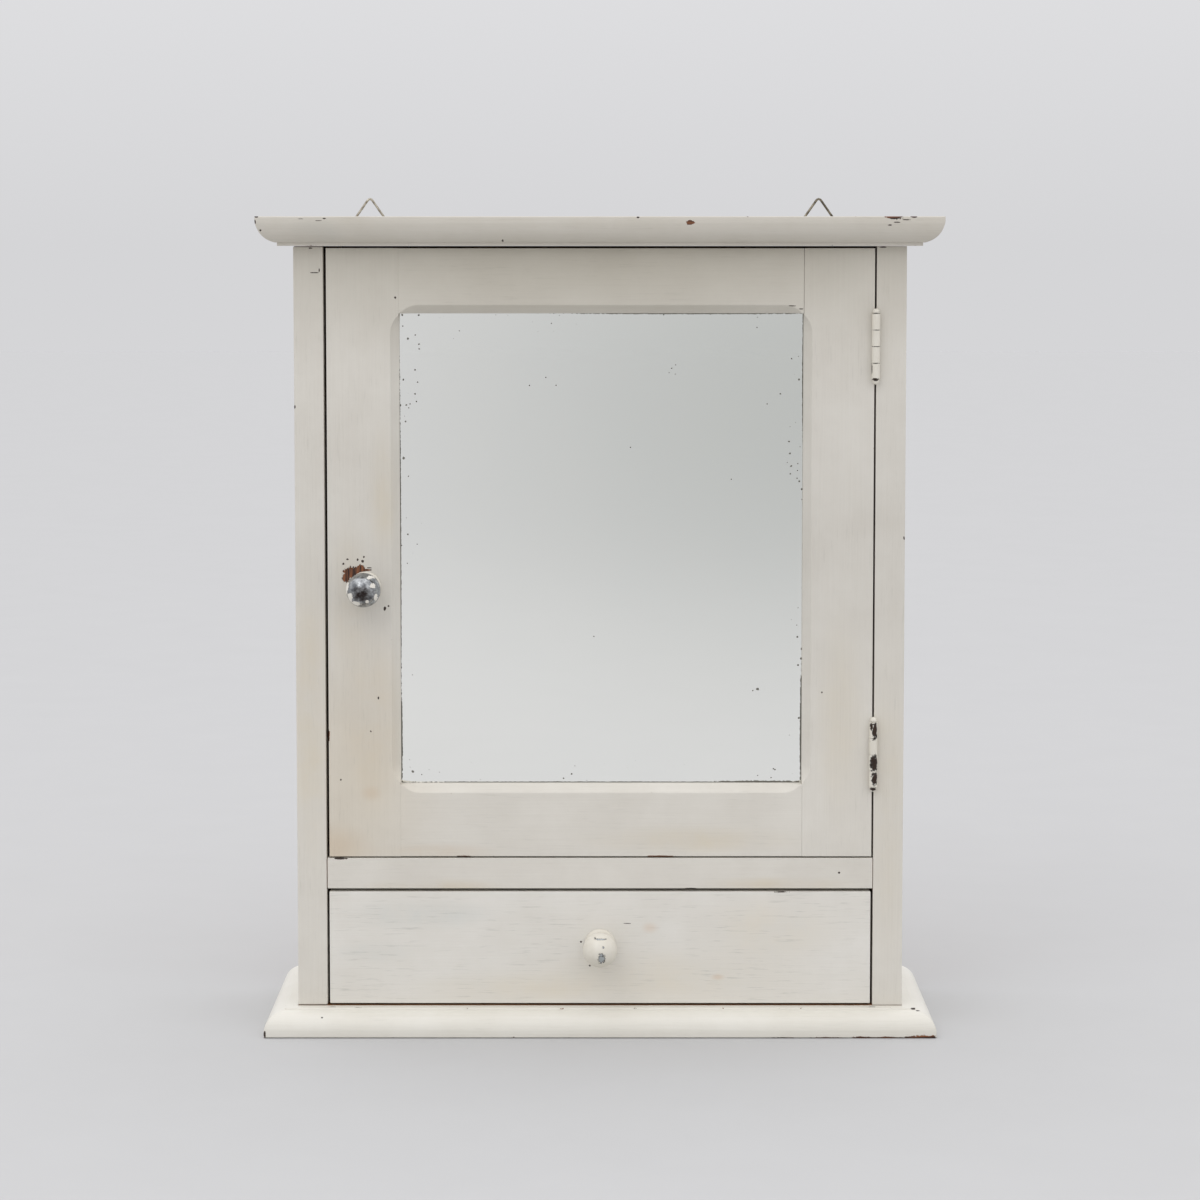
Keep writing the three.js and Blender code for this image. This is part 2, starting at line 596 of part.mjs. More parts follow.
// The four pieces of the door frame, jointed with tenons and rebated for the mirror.
function addDoorFrame(panel) {
  const middleX = (SIGHT_X[0] + SIGHT_X[1]) / 2;
  const middleZ = (SIGHT_Z[0] + SIGHT_Z[1]) / 2;
  const sightW = SIGHT_X[1] - SIGHT_X[0];
  const sightH = SIGHT_Z[1] - SIGHT_Z[0];
  const pocket = block(
    [SIGHT_X[0] - GLASS_LAP, SIGHT_X[1] + GLASS_LAP],
    [GLASS_LIP, DOOR_T + 1],
    [SIGHT_Z[0] - GLASS_LAP, SIGHT_Z[1] + GLASS_LAP],
  );
  const acrossX = new THREE.Vector3(1, 0, 0);
  const upZ = new THREE.Vector3(0, 0, 1);
  const slant = Math.SQRT1_2;
  const chamfer = {
    bottom: chamferCutter(sightW, acrossX, new THREE.Vector3(0, -slant, slant),
      new THREE.Vector3(middleX, 0, SIGHT_Z[0])),
    top: chamferCutter(sightW, acrossX, new THREE.Vector3(0, -slant, -slant),
      new THREE.Vector3(middleX, 0, SIGHT_Z[1])),
    lock: chamferCutter(sightH, upZ, new THREE.Vector3(slant, -slant, 0),
      new THREE.Vector3(SIGHT_X[0], 0, middleZ)),
    hinge: chamferCutter(sightH, upZ, new THREE.Vector3(-slant, -slant, 0),
      new THREE.Vector3(SIGHT_X[1], 0, middleZ)),
  };

  // A rail between the stiles, with a tenon at each end that lies in front of the rebate.
  const tenonY = [(GLASS_LIP - TENON_T) / 2, (GLASS_LIP + TENON_T) / 2];
  const railX = [SIGHT_X[0] + FIT, SIGHT_X[1] - FIT];
  const tenonX = [SIGHT_X[0] - TENON_L, SIGHT_X[1] + TENON_L];
  const rail = (z, cutter) => {
    const tenonZ = [z[0] + TENON_SHOULDER, z[1] - TENON_SHOULDER];
    const body = join(block(railX, [0, DOOR_T], z), block(tenonX, tenonY, tenonZ));
    return cut(body, pocket, cutter);
  };
  const mortise = (z) => block(
    [tenonX[0] - FIT, tenonX[1] + FIT],
    [tenonY[0] - FIT, tenonY[1] + FIT],
    [z[0] + TENON_SHOULDER - FIT, z[1] - TENON_SHOULDER + FIT],
  );
  const bottomZ = [0, BOTTOM_RAIL_H];
  const topZ = [DOOR_H - TOP_RAIL_H, DOOR_H];
  add(panel, 'door_rail_top', rail(topZ, chamfer.top), CREAM_PAINT);
  add(panel, 'door_rail_bottom', rail(bottomZ, chamfer.bottom), CREAM_PAINT);

  const hinges = Object.values(HINGE_HEIGHTS).map((z) =>
    leafRecess(-1).translate(DOOR_W + DOOR_GAP_HINGE / 2, -HINGE_PROUD, z));
  const keeperHole = rodAlongY(
    KEEPER_SCREW_R + FIT,
    KEEPER_X,
    [DOOR_T - KEEPER_SCREW_L, DOOR_T + 1],
    KEEPER_Z - DOOR_Z,
  );
  const lockStile = block([0, SIGHT_X[0]], [0, DOOR_T], [0, DOOR_H]);
  const hingeStile = block([SIGHT_X[1], DOOR_W], [0, DOOR_T], [0, DOOR_H]);
  const shared = [mortise(bottomZ), mortise(topZ), pocket];
  const screwHole = knobHole(KNOB_FROM_EDGE, KNOB_HEIGHT, DOOR_T);
  add(panel, 'door_stile_left', cut(lockStile, ...shared, chamfer.lock, screwHole, keeperHole), CREAM_PAINT);
  add(panel, 'door_stile_right', cut(hingeStile, ...shared, chamfer.hinge, ...hinges), CREAM_PAINT);
}

// The mirror, the board behind it and the four mitred beads that hold both in the rebate.
function addMirror(panel) {
  const x = [SIGHT_X[0] - GLASS_LAP + FIT, SIGHT_X[1] + GLASS_LAP - FIT];
  const z = [SIGHT_Z[0] - GLASS_LAP + FIT, SIGHT_Z[1] + GLASS_LAP - FIT];
  addBoard(panel, 'mirror_plate', x, [GLASS_Y, GLASS_Y + GLASS_T], z, MIRROR);
  addBoard(panel, 'mirror_backboard', x, [BACKBOARD_Y, BACKBOARD_Y + BACKBOARD_T], z, PLYWOOD);

  const thickness = DOOR_T - BEAD_Y;
  const section = new THREE.Shape();
  section.moveTo(0, 0);
  section.lineTo(BEAD_W, 0);
  section.quadraticCurveTo(BEAD_W, thickness, 0, thickness);
  const upright = z[1] - z[0] - FIT;
  const level = x[1] - x[0] - FIT;
  const middleX = (x[0] + x[1]) / 2;
  const middleZ = (z[0] + z[1]) / 2;
  // A bead lies with its section's height towards +Y. `turn` swings it about that direction.
  const bead = (name, length, turn, beadX, beadZ) => {
    const geometry = strip(section, length, -1, -1);
    geometry.translate(0, length / 2, 0).rotateX(-Math.PI / 2);
    add(panel, name, geometry, BARE_WOOD, beadX, BEAD_Y, beadZ).rotation.y = turn;
  };
  bead('mirror_bead_left', upright, 0, x[0], middleZ);
  bead('mirror_bead_bottom', level, -Math.PI / 2, middleX, z[0]);
  bead('mirror_bead_right', upright, Math.PI, x[1], middleZ);
  bead('mirror_bead_top', level, Math.PI / 2, middleX, z[1]);
}

function addDoor(cabinet) {
  const door = addGroup(cabinet, HINGE_X, FRONT_Y - HINGE_PROUD, DOOR_Z);
  const panel = addGroup(door, -DOOR_GAP_HINGE / 2 - DOOR_W, HINGE_PROUD, 0);
  addDoorFrame(panel);
  addMirror(panel);
  addKnob(panel, 'door_knob', KNOB_FROM_EDGE, 0, KNOB_HEIGHT, DOOR_T);

  const keeperZ = KEEPER_Z - DOOR_Z;
  const plate = block(
    [-KEEPER_W / 2, KEEPER_W / 2],
    [0, KEEPER_T],
    [-KEEPER_H / 2, KEEPER_H / 2],
  );
  const well = turned([[0, -1], [KEEPER_SCREW_R + FIT, -1], [KEEPER_SCREW_R + FIT, 0], [3.1, KEEPER_T],
    [3.1, KEEPER_T + 1], [0, KEEPER_T + 1]], SCREW_STEPS);
  add(panel, 'catch_keeper', cut(plate, well), ZINC, KEEPER_X, DOOR_T + FIT, keeperZ);
  const flush = turned([[0, -KEEPER_SCREW_L], [KEEPER_SCREW_R, -KEEPER_SCREW_L + 2],
    [KEEPER_SCREW_R, 0], [2.75, KEEPER_T - 0.1], [0, KEEPER_T - 0.1]], SCREW_STEPS);
  add(panel, 'catch_keeper_screw', flush, ZINC, KEEPER_X, DOOR_T + 2 * FIT, keeperZ);

  for (const [place, height] of Object.entries(HINGE_HEIGHTS)) {
    add(door, `hinge_${place}_door_leaf`, hingeLeaf(-1), PAINTED_STEEL, 0, 0, height);
    add(door, `hinge_${place}_pin`, hingePin(), PAINTED_STEEL, 0, 0, height);
    const name = `hinge_${place}_frame_leaf`;
    add(cabinet, name, hingeLeaf(1), PAINTED_STEEL, HINGE_X, FRONT_Y - HINGE_PROUD, DOOR_Z + height);
  }
}

// ---------------------------------------------------------------------------------------------
// Drawer. Its group starts at the middle of its front face, on the bottom board.

function addDrawer(cabinet) {
  const drawer = addGroup(cabinet, 0, FRONT_Y, BASE_T);
  const outer = DRAWER_W / 2 - DRAWER_SIDE_GAP;
  const inner = outer - DRAWER_SIDE_T;
  const sideY = [DRAWER_FRONT_T + FIT, DRAWER_D];
  const sideZ = [DRAWER_RUN_GAP, DRAWER_SIDE_H];
  const grooveZ = [DRAWER_RUN_GAP + DRAWER_BOTTOM_RISE, DRAWER_RUN_GAP + DRAWER_BOTTOM_RISE + DRAWER_BOTTOM_T];
  const groove = block(
    [-inner - DRAWER_GROOVE, inner + DRAWER_GROOVE],
    [DRAWER_FRONT_T - DRAWER_GROOVE, DRAWER_D + 1],
    [grooveZ[0] - FIT, grooveZ[1] + FIT],
  );
  const frontZ = [DRAWER_GAP_BOTTOM, DRAWER_OPENING_H - DRAWER_GAP_TOP];
  const knobZ = (frontZ[0] + frontZ[1]) / 2 + DRAWER_KNOB_RISE;
  const front = block([-DRAWER_W / 2, DRAWER_W / 2], [0, DRAWER_FRONT_T], frontZ);
  add(drawer, 'drawer_front', cut(front, groove, knobHole(0, knobZ, DRAWER_FRONT_T)), CREAM_PAINT);
  add(drawer, 'drawer_side_left', cut(block([-outer, -inner], sideY, sideZ), groove), BARE_WOOD);
  add(drawer, 'drawer_side_right', cut(block([inner, outer], sideY, sideZ), groove), BARE_WOOD);

  const bottomX = inner + DRAWER_GROOVE - FIT;
  const bottomY = [DRAWER_FRONT_T - DRAWER_GROOVE + FIT, DRAWER_D];
  addBoard(drawer, 'drawer_bottom', [-bottomX, bottomX], bottomY, grooveZ, PLYWOOD);
  const backY = [DRAWER_D - DRAWER_SIDE_T, DRAWER_D];
  const backZ = [grooveZ[1] + FIT, DRAWER_SIDE_H];
  addBoard(drawer, 'drawer_back', [-inner + FIT, inner - FIT], backY, backZ, BARE_WOOD);
  addKnob(drawer, 'drawer_knob', 0, 0, knobZ, DRAWER_FRONT_T);
}

// ---------------------------------------------------------------------------------------------
// Hangers. Each group starts at the wall side of the top board, level with the ring's bar.

// A strap with its end rolled into an eye round the bar, and a hole for its screw.
function hangerStrap() {
  const outerR = STRAP_EYE_R + STRAP_T;
  const mouth = -0.6 * Math.PI; // where the rolled end stops, as an angle about the bar
  const profile = new THREE.Shape(); // x is towards the wall, y is up
  profile.moveTo(FIT, -STRAP_L);
  profile.lineTo(FIT, 0);
  profile.absarc(RING_Y, 0, outerR, Math.PI, mouth, true);
  profile.absarc(RING_Y, 0, STRAP_EYE_R, mouth, Math.PI, false);
  profile.lineTo(FIT + STRAP_T, -STRAP_L);
  const settings = { depth: STRAP_W, bevelEnabled: false, curveSegments: 3 * CURVE_STEPS };
  const geometry = new THREE.ExtrudeGeometry(profile, settings);
  geometry.translate(0, 0, -STRAP_W / 2);
  // The profile's x turns to +Y, its y to +Z, and the strap's width to +X.
  const place = new THREE.Matrix4().makeBasis(
    new THREE.Vector3(0, 1, 0),
    new THREE.Vector3(0, 0, 1),
    new THREE.Vector3(1, 0, 0),
  );
  geometry.applyMatrix4(place);
  return cut(geometry, rodAlongY(HANGER_SCREW_R + FIT, 0, [-1, STRAP_T + 1], -HANGER_SCREW_DROP));
}

// A triangle of wire that stands on its bar. Its two ends meet in the middle of the bar.
function hangerRing() {
  const apex = new THREE.Vector3(0, 0, RING_HEIGHT - RING_WIRE_R);
  const right = new THREE.Vector3(RING_HALF_W, 0, 0);
  const left = new THREE.Vector3(-RING_HALF_W, 0, 0);
  const start = new THREE.Vector3(RING_END_GAP / 2, 0, 0);
  const end = new THREE.Vector3(-RING_END_GAP / 2, 0, 0);
  const towards = (from, to) => to.clone().sub(from).setLength(RING_CORNER).add(from);
  const path = new THREE.CurvePath();
  let last = start;
  for (const [corner, next] of [[right, apex], [apex, left], [left, end]]) {
    const before = towards(corner, last);
    const after = towards(corner, next);
    path.add(new THREE.LineCurve3(last, before));
    path.add(new THREE.QuadraticBezierCurve3(before, corner, after));
    last = after;
  }
  path.add(new THREE.LineCurve3(last, end));
  const wire = new THREE.Shape().absarc(0, 0, RING_WIRE_R, 0, 2 * Math.PI);
  return new THREE.ExtrudeGeometry(wire, { steps: 60, extrudePath: path, curveSegments: 4 });
}

function addHanger(cabinet, place, x) {
  const hanger = addGroup(cabinet, x, 0, RING_Z);
  add(hanger, `hanger_strap_${place}`, hangerStrap(), DARK_STEEL);
  add(hanger, `hanger_ring_${place}`, hangerRing(), DARK_STEEL, 0, RING_Y, 0);
  const fastener = screw(2.9, 1.6, HANGER_SCREW_R, HANGER_SCREW_L);
  add(hanger, `hanger_screw_${place}`, fastener, DARK_STEEL, 0, STRAP_T + 2 * FIT, -HANGER_SCREW_DROP);
}

// ---------------------------------------------------------------------------------------------
// Assembly

const root = new THREE.Group();
const cabinet = addGroup(root, 0, 0, -(BASE_T + CARCASS_H / 2));
addCarcass(cabinet);
addCatch(cabinet);
addDoor(cabinet);
addDrawer(cabinet);
addHanger(cabinet, 'left', HANGER_LEFT_X);
addHanger(cabinet, 'right', HANGER_RIGHT_X);

export default root;
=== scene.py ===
"""The looks of a small painted wall cabinet with a mirrored door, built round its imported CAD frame.

Sizes are in millimetres and turned to metres where a mesh or a node takes them. X runs to the
right, Y to the wall and Z up. The origin is the middle of the back panel's wall side.
"""

import logging
import math
from dataclasses import dataclass, field
from enum import Enum
from typing import Callable, Iterable, Sequence

import bmesh
import bpy
from mathutils import Matrix, Vector


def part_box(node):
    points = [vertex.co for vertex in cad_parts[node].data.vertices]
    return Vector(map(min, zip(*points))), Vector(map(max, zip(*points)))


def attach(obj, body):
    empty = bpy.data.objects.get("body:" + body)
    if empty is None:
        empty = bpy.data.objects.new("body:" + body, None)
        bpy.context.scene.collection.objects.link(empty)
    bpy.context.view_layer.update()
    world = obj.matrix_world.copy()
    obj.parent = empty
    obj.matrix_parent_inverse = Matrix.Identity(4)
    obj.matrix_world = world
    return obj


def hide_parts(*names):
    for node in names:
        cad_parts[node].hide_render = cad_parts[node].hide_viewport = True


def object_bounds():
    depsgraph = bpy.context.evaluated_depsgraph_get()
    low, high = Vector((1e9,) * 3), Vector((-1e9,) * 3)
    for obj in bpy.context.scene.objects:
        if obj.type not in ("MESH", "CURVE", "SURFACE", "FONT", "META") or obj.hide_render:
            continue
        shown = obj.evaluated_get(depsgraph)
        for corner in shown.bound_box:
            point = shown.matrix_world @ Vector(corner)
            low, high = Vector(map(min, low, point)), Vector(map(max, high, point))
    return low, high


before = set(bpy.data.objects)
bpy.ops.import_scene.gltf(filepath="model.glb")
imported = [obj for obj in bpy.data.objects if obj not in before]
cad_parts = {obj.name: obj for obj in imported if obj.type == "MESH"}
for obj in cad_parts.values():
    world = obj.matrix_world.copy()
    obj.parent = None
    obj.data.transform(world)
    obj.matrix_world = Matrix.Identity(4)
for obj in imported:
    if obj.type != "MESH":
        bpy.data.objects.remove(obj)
CAD_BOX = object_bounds()

MM = 0.001
WELD = 1e-6  # metres within which a CAD node's loose corners are one corner
JOINT_GAP = 0.2  # the gap that the frame keeps between two wooden pieces
FLAT = 0.5  # degrees of turning below which two faces are one flat face
OUTER_EDGE = 28.0  # degrees of turning from which an edge is rounded
CREASE = 34.0  # degrees of turning from which an edge is shaded sharp
FACING = 0.5  # share of a face's normal from which the face looks that way
FRONT = round(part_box("side_board_left")[0].y / MM, 2)  # the front of the boards
LOG = logging.getLogger("wall_cabinet")

Point = tuple[float, float, float]
Mark = tuple[float, float, float, float]
Material = bpy.types.Material
Socket = bpy.types.NodeSocket
Shape = bmesh.types.BMesh
Face = bmesh.types.BMFace
Edge = bmesh.types.BMEdge
Vert = bmesh.types.BMVert


def mm(*values: float) -> Vector:
    """Turns millimetres into a vector in metres."""
    return Vector(values) * MM


def linear(colour: str) -> tuple[float, float, float, float]:
    """Turns an sRGB hex colour into the linear colour that a shader takes.

    Args:
        colour: Six hex digits, such as "dcd7cb".

    Returns:
        Red, green, blue and an alpha of 1.
    """
    shares = [int(colour[i:i + 2], 16) / 255 for i in (0, 2, 4)]
    red, green, blue = (s / 12.92 if s <= 0.04045 else ((s + 0.055) / 1.055) ** 2.4 for s in shares)
    return red, green, blue, 1.0


# --------------------------------------------------------------------------------------------
# Materials


class Recipe:
    """A material's node tree while it is being written.

    Inputs with a name that a node has only once go by name, and others by number: a colour Mix takes
    its share at 0 and its colours at 6 and 7 and gives its result at 2, a Map Range takes the old
    range at 1 and 2 and the new one at 3 and 4, and a Mapping takes its scale at 3.
    """

    def __init__(self, name: str) -> None:
        """Starts an empty tree with its shader and output.

        Args:
            name: The material's name.
        """
        self.material = bpy.data.materials.new(name)
        self.material.use_nodes = True
        self.tree = self.material.node_tree
        self.tree.nodes.clear()
        self.shader = self.add("ShaderNodeBsdfPrincipled")
        self.add("ShaderNodeOutputMaterial", {"Surface": self.shader.outputs[0]})
        self.place = self.add("ShaderNodeTexCoord").outputs["Object"]

    def add(self, kind: str, inputs: dict | None = None, **settings: object) -> bpy.types.Node:
        """Adds a node.

        Args:
            kind: The node's type.
            inputs: Input names or numbers, each with a value or with another node's output.
            settings: The node's own attributes.

        Returns:
            The new node.
        """
        node = self.tree.nodes.new(kind)
        for name, value in settings.items():
            setattr(node, name, value)
        for name, value in (inputs or {}).items():
            self.feed(node, name, value)
        return node

    def feed(self, node: bpy.types.Node, name: str | int, value: object) -> None:
        """Gives one input of a node a value or another node's output.

        Args:
            node: The node.
            name: The input's name or number.
            value: A value, or the output to link.
        """
        if isinstance(value, Socket):
            self.tree.links.new(value, node.inputs[name])
        else:
            node.inputs[name].default_value = value

    def rag(self, size: float, depth: float, detail: float = 4.0, roughness: float = 0.7) -> Socket:
        """Adds a noise centred on 0, for the ragged outlines of chips and specks.

        Args:
            size: Size of the rags, in millimetres.
            depth: The noise's whole range.
            detail: Number of finer noises in it.
            roughness: Strength of the finer noises.

        Returns:
            The noise.
        """
        noise = self.add("ShaderNodeTexNoise", {"Vector": self.place, "Scale": 1 / (size * MM),
                                                "Detail": detail, "Roughness": roughness})
        return self.add("ShaderNodeMath", {0: noise.outputs[0], 1: depth, 2: -depth / 2},
                        operation="MULTIPLY_ADD").outputs[0]


def noise_limit(share: float) -> float:
    """The value that a noise passes over about the given share of a surface."""
    return 0.5 + 0.25 * (1 - 2 * share)


class Grain(Enum):
    """The way that a board's grain and its brush marks run."""

    ACROSS = (1.0, 0.0, 0.0)
    DEEP = (0.0, 1.0, 0.0)
    UP = (0.0, 0.0, 1.0)

    def stretch(self, pitch: float, length: float) -> Point:
        """Scales that draw a noise out along the grain.

        Args:
            pitch: Distance across the grain from one mark to the next, in millimetres.
            length: Length of a mark along the grain, in millimetres.

        Returns:
            The scale of each axis, for a Mapping node.
        """
        along, across = 1 / (length * MM), 1 / (pitch * MM)
        return tuple(along if share else across for share in self.value)


@dataclass(frozen=True)
class Patch:
    """A spot on a surface: where it is and how big, in millimetres."""

    centre: Point
    size: Point

    def distance(self, recipe: Recipe) -> Socket:
        """Adds a value that is 0 in the spot's middle and 1 at its outline.

        Args:
            recipe: The material.

        Returns:
            The value.
        """
        shares = tuple(2 / (s * MM) for s in self.size)
        offset = recipe.add("ShaderNodeVectorMath", {0: recipe.place, 1: mm(*self.centre)},
                            operation="SUBTRACT")
        scaled = recipe.add("ShaderNodeVectorMath", {0: offset.outputs[0], 1: shares},
                            operation="MULTIPLY")
        return recipe.add("ShaderNodeVectorMath", {0: scaled.outputs[0]},
                          operation="LENGTH").outputs["Value"]


@dataclass(frozen=True)
class Stain(Patch):
    """A soft discoloured place in the paint, or a soft patch of painted shade."""

    colour: str = "cfae74"
    strength: float = 0.3
    even: bool = False  # an even film, and not a cloudy stain; the patches of painted shade are such films


def spots(y: float, deep: float, *marks: Mark) -> tuple[Patch, ...]:
    """Spots on an upright face that looks to the front.

    Args:
        y: Where the face is, in millimetres.
        deep: Size of the spots from front to back.
        marks: The X and Z of each spot's middle, its width and its height.

    Returns:
        The spots, in the given order.
    """
    return tuple(Patch((x, y, z), (wide, deep, tall)) for x, z, wide, tall in marks)


def patch_mask(recipe: Recipe, patches: Sequence[Patch], rag: Socket) -> Socket:
    """Adds a mask that is 1 inside any of the spots, whose outlines a noise makes ragged.

    Args:
        recipe: The material.
        patches: The spots.
        rag: A noise centred on 0 that is added to each spot's distance.

    Returns:
        The mask.
    """
    mask = None
    for patch in patches:
        ragged = recipe.add("ShaderNodeMath", {0: patch.distance(recipe), 1: rag}, operation="ADD")
        inside = recipe.add("ShaderNodeMath", {0: ragged.outputs[0], 1: 1.0},
                            operation="LESS_THAN").outputs[0]
        if mask is not None:
            inside = recipe.add("ShaderNodeMath", {0: mask, 1: inside}, operation="MAXIMUM").outputs[0]
        mask = inside
    return mask


@dataclass(frozen=True)
class PineGrain:
    """Old stained pine, planed, without its paint: red-brown with darker winter rings."""

    light: str = "8a5a38"
    dark: str = "4a2a1a"
    ring_pitch: float = 3.2  # from one winter ring to the next
    ring_length: float = 180.0
    contrast: tuple[float, float] = (0.28, 0.74)  # the noise's values for the dark and the light wood

    def colour(self, recipe: Recipe, grain: Grain) -> Socket:
        """Adds the wood's colour, with its rings along the grain.

        Args:
            recipe: The material.
            grain: The way that the board's grain runs.

        Returns:
            The colour.
        """
        spread = recipe.add("ShaderNodeMapping", {0: recipe.place, 3: grain.stretch(self.ring_pitch,
                                                                                    self.ring_length)})
        rings = recipe.add("ShaderNodeTexNoise", {"Vector": spread.outputs[0], "Scale": 1.0, "Detail": 4.0,
                                                  "Roughness": 0.62, "Distortion": 0.4})
        ramp = recipe.add("ShaderNodeValToRGB", {0: rings.outputs[0]})
        first, last = ramp.color_ramp.elements
        first.position, first.color = self.contrast[0], linear(self.dark)
        last.position, last.color = self.contrast[1], linear(self.light)
        return ramp.outputs[0]


CHIPPED = PineGrain("85512f", "23120c", 1.3, 26.0, (0.4, 0.56))  # torn and dirty, under a chip
PLANED = PineGrain("a0714a", "7c5130", 3.6, 160.0, (0.3, 0.7))  # never painted, on the hidden faces


@dataclass(frozen=True)
class CreamPaint:
    """Oil paint brushed over old stained pine, gone chalky: cream with faint brush marks, a little
    yellow where hands and damp reached it, and ragged chips down to the brown wood.

    The edge and bare attributes of a piece say where its rubbed edges and unpainted faces are.
    """

    name: str
    grain: Grain
    chips: Sequence[Patch] = ()
    # stains, and patches of painted shade, multiplied into the paint's colour
    stains: Sequence[Stain] = ()
    cracks: Sequence[Patch] = ()  # nicks too small to clean, black with old dirt
    edge_wear: float = 0.12  # share of the rubbed edges that is worn through
    light: str = "dcd8cf"
    dark: str = "d2cdc3"
    brush_pitch: float = 1.3  # bristle marks are finer, and are drawn this wide so that they show
    brush_length: float = 70.0
    cloud_size: float = 46.0
    dirt: str = "33251d"
    thin: float = 0.1  # how much of the wood's grain shows through the paint
    gloss: tuple[float, float] = (0.5, 0.72)  # roughness in and between the brush marks
    film: float = 0.22  # thickness of the paint, as a chip's edge shows it
    brush_depth: float = 0.07
    pore: str = "a9aca8"  # the paint where it has sunk into the wood's pores
    pore_pitch: float = 0.9
    pore_length: float = 15.0
    rag_size: float = 1.9  # size of the rags of a chip's outline
    rub_size: float = 9.0  # size of the rubbed places along an edge

    def material(self) -> Material:
        """Writes the material.

        Returns:
            The finished material.
        """
        recipe = Recipe(self.name)
        rag = recipe.rag(self.rag_size, 1.9)
        brushed = recipe.add("ShaderNodeMapping", {0: recipe.place, 3: self.grain.stretch(
            self.brush_pitch, self.brush_length)})
        brush = recipe.add("ShaderNodeTexNoise", {"Vector": brushed.outputs[0], "Scale": 1.0, "Detail": 3.0,
                                                  "Roughness": 0.6}).outputs[0]
        paint = self._paint_colour(recipe, brush)
        lost = self._lost_paint(recipe, rag)
        bare = recipe.add("ShaderNodeAttribute", attribute_name="bare").outputs["Fac"]
        wood = recipe.add("ShaderNodeMix", {0: bare, 6: CHIPPED.colour(recipe, self.grain),
                                            7: PLANED.colour(recipe, self.grain)},
                          data_type="RGBA").outputs[2]
        colour = recipe.add("ShaderNodeMix", {0: lost, 6: paint, 7: wood}, data_type="RGBA").outputs[2]
        if self.cracks:
            crack = patch_mask(recipe, self.cracks, rag)
            colour = recipe.add("ShaderNodeMix", {0: crack, 6: colour, 7: linear(self.dirt)},
                                data_type="RGBA").outputs[2]
        recipe.feed(recipe.shader, "Base Color", colour)
        rough = recipe.add("ShaderNodeMapRange", {0: brush, 3: self.gloss[0], 4: self.gloss[1]})
        recipe.feed(recipe.shader, "Roughness", rough.outputs[0])
        self._relief(recipe, brush, lost)
        return recipe.material

    def _paint_colour(self, recipe: Recipe, brush: Socket) -> Socket:
        """Adds the paint's colour: clouds of two creams, brush marks, stains and patches of painted shade.

        Args:
            recipe: The material.
            brush: The brush marks.

        Returns:
            The colour.
        """
        cloud = recipe.add("ShaderNodeTexNoise", {"Vector": recipe.place,
                                                  "Scale": 1 / (self.cloud_size * MM),
                                                  "Detail": 5.0, "Roughness": 0.6})
        blend = recipe.add("ShaderNodeMix", {0: 0.3, 2: cloud.outputs[0], 3: brush}, data_type="FLOAT")
        share = recipe.add("ShaderNodeMapRange", {0: blend.outputs[0], 1: 0.3, 2: 0.68})
        colour = recipe.add("ShaderNodeMix", {0: share.outputs[0], 6: linear(self.dark),
                                              7: linear(self.light)}, data_type="RGBA").outputs[2]
        pores = recipe.add("ShaderNodeMapping", {0: recipe.place, 3: self.grain.stretch(self.pore_pitch,
                                                                                   self.pore_length)})
        pore = recipe.add("ShaderNodeTexNoise", {"Vector": pores.outputs[0], "Scale": 1.0, "Detail": 2.0,
                                                 "Roughness": 0.5}).outputs[0]
        line = recipe.add("ShaderNodeMapRange", {0: pore, 1: 0.6, 2: 0.72, 4: self.thin}).outputs[0]
        spread = recipe.add("ShaderNodeMapRange", {0: cloud.outputs[0], 1: 0.62, 2: 0.42}).outputs[0]
        shown = recipe.add("ShaderNodeMath", {0: line, 1: spread}, operation="MULTIPLY").outputs[0]
        colour = recipe.add("ShaderNodeMix", {0: shown, 6: colour, 7: linear(self.pore)},
                            data_type="RGBA", blend_type="MULTIPLY").outputs[2]
        # each stain, and each patch of painted shade, multiplies the colour towards its own
        for stain in self.stains:
            depth = recipe.add("ShaderNodeMapRange", {0: stain.distance(recipe), 1: 0.1, 2: 1.0,
                                                      3: stain.strength, 4: 0.0},
                               interpolation_type="SMOOTHSTEP").outputs[0]
            if not stain.even:
                patchy = recipe.add("ShaderNodeMapRange", {0: cloud.outputs[0], 1: 0.32, 2: 0.68})
                depth = recipe.add("ShaderNodeMath", {0: depth, 1: patchy.outputs[0]},
                                   operation="MULTIPLY").outputs[0]
            colour = recipe.add("ShaderNodeMix", {0: depth, 6: colour, 7: linear(stain.colour)},
                                data_type="RGBA", blend_type="MULTIPLY").outputs[2]
        return colour

    def _lost_paint(self, recipe: Recipe, rag: Socket) -> Socket:
        """Adds a mask of the places without paint: chips, rubbed edges and bare faces.

        Args:
            recipe: The material.
            rag: The noise for the chips' outlines.

        Returns:
            The mask.
        """
        edge = recipe.add("ShaderNodeAttribute", attribute_name="edge").outputs["Fac"]
        bare = recipe.add("ShaderNodeAttribute", attribute_name="bare").outputs["Fac"]
        wear = recipe.add("ShaderNodeTexNoise", {"Vector": recipe.place, "Scale": 1 / (self.rub_size * MM),
                                                 "Detail": 6.0, "Roughness": 0.75}).outputs[0]
        worn = recipe.add("ShaderNodeMath", {0: wear, 1: noise_limit(self.edge_wear)},
                          operation="GREATER_THAN").outputs[0]
        rubbed = recipe.add("ShaderNodeMath", {0: worn, 1: edge}, operation="MULTIPLY").outputs[0]
        lost = recipe.add("ShaderNodeMath", {0: rubbed, 1: bare}, operation="MAXIMUM").outputs[0]
        if self.chips:
            chipped = patch_mask(recipe, self.chips, rag)
            lost = recipe.add("ShaderNodeMath", {0: lost, 1: chipped}, operation="MAXIMUM").outputs[0]
        return lost

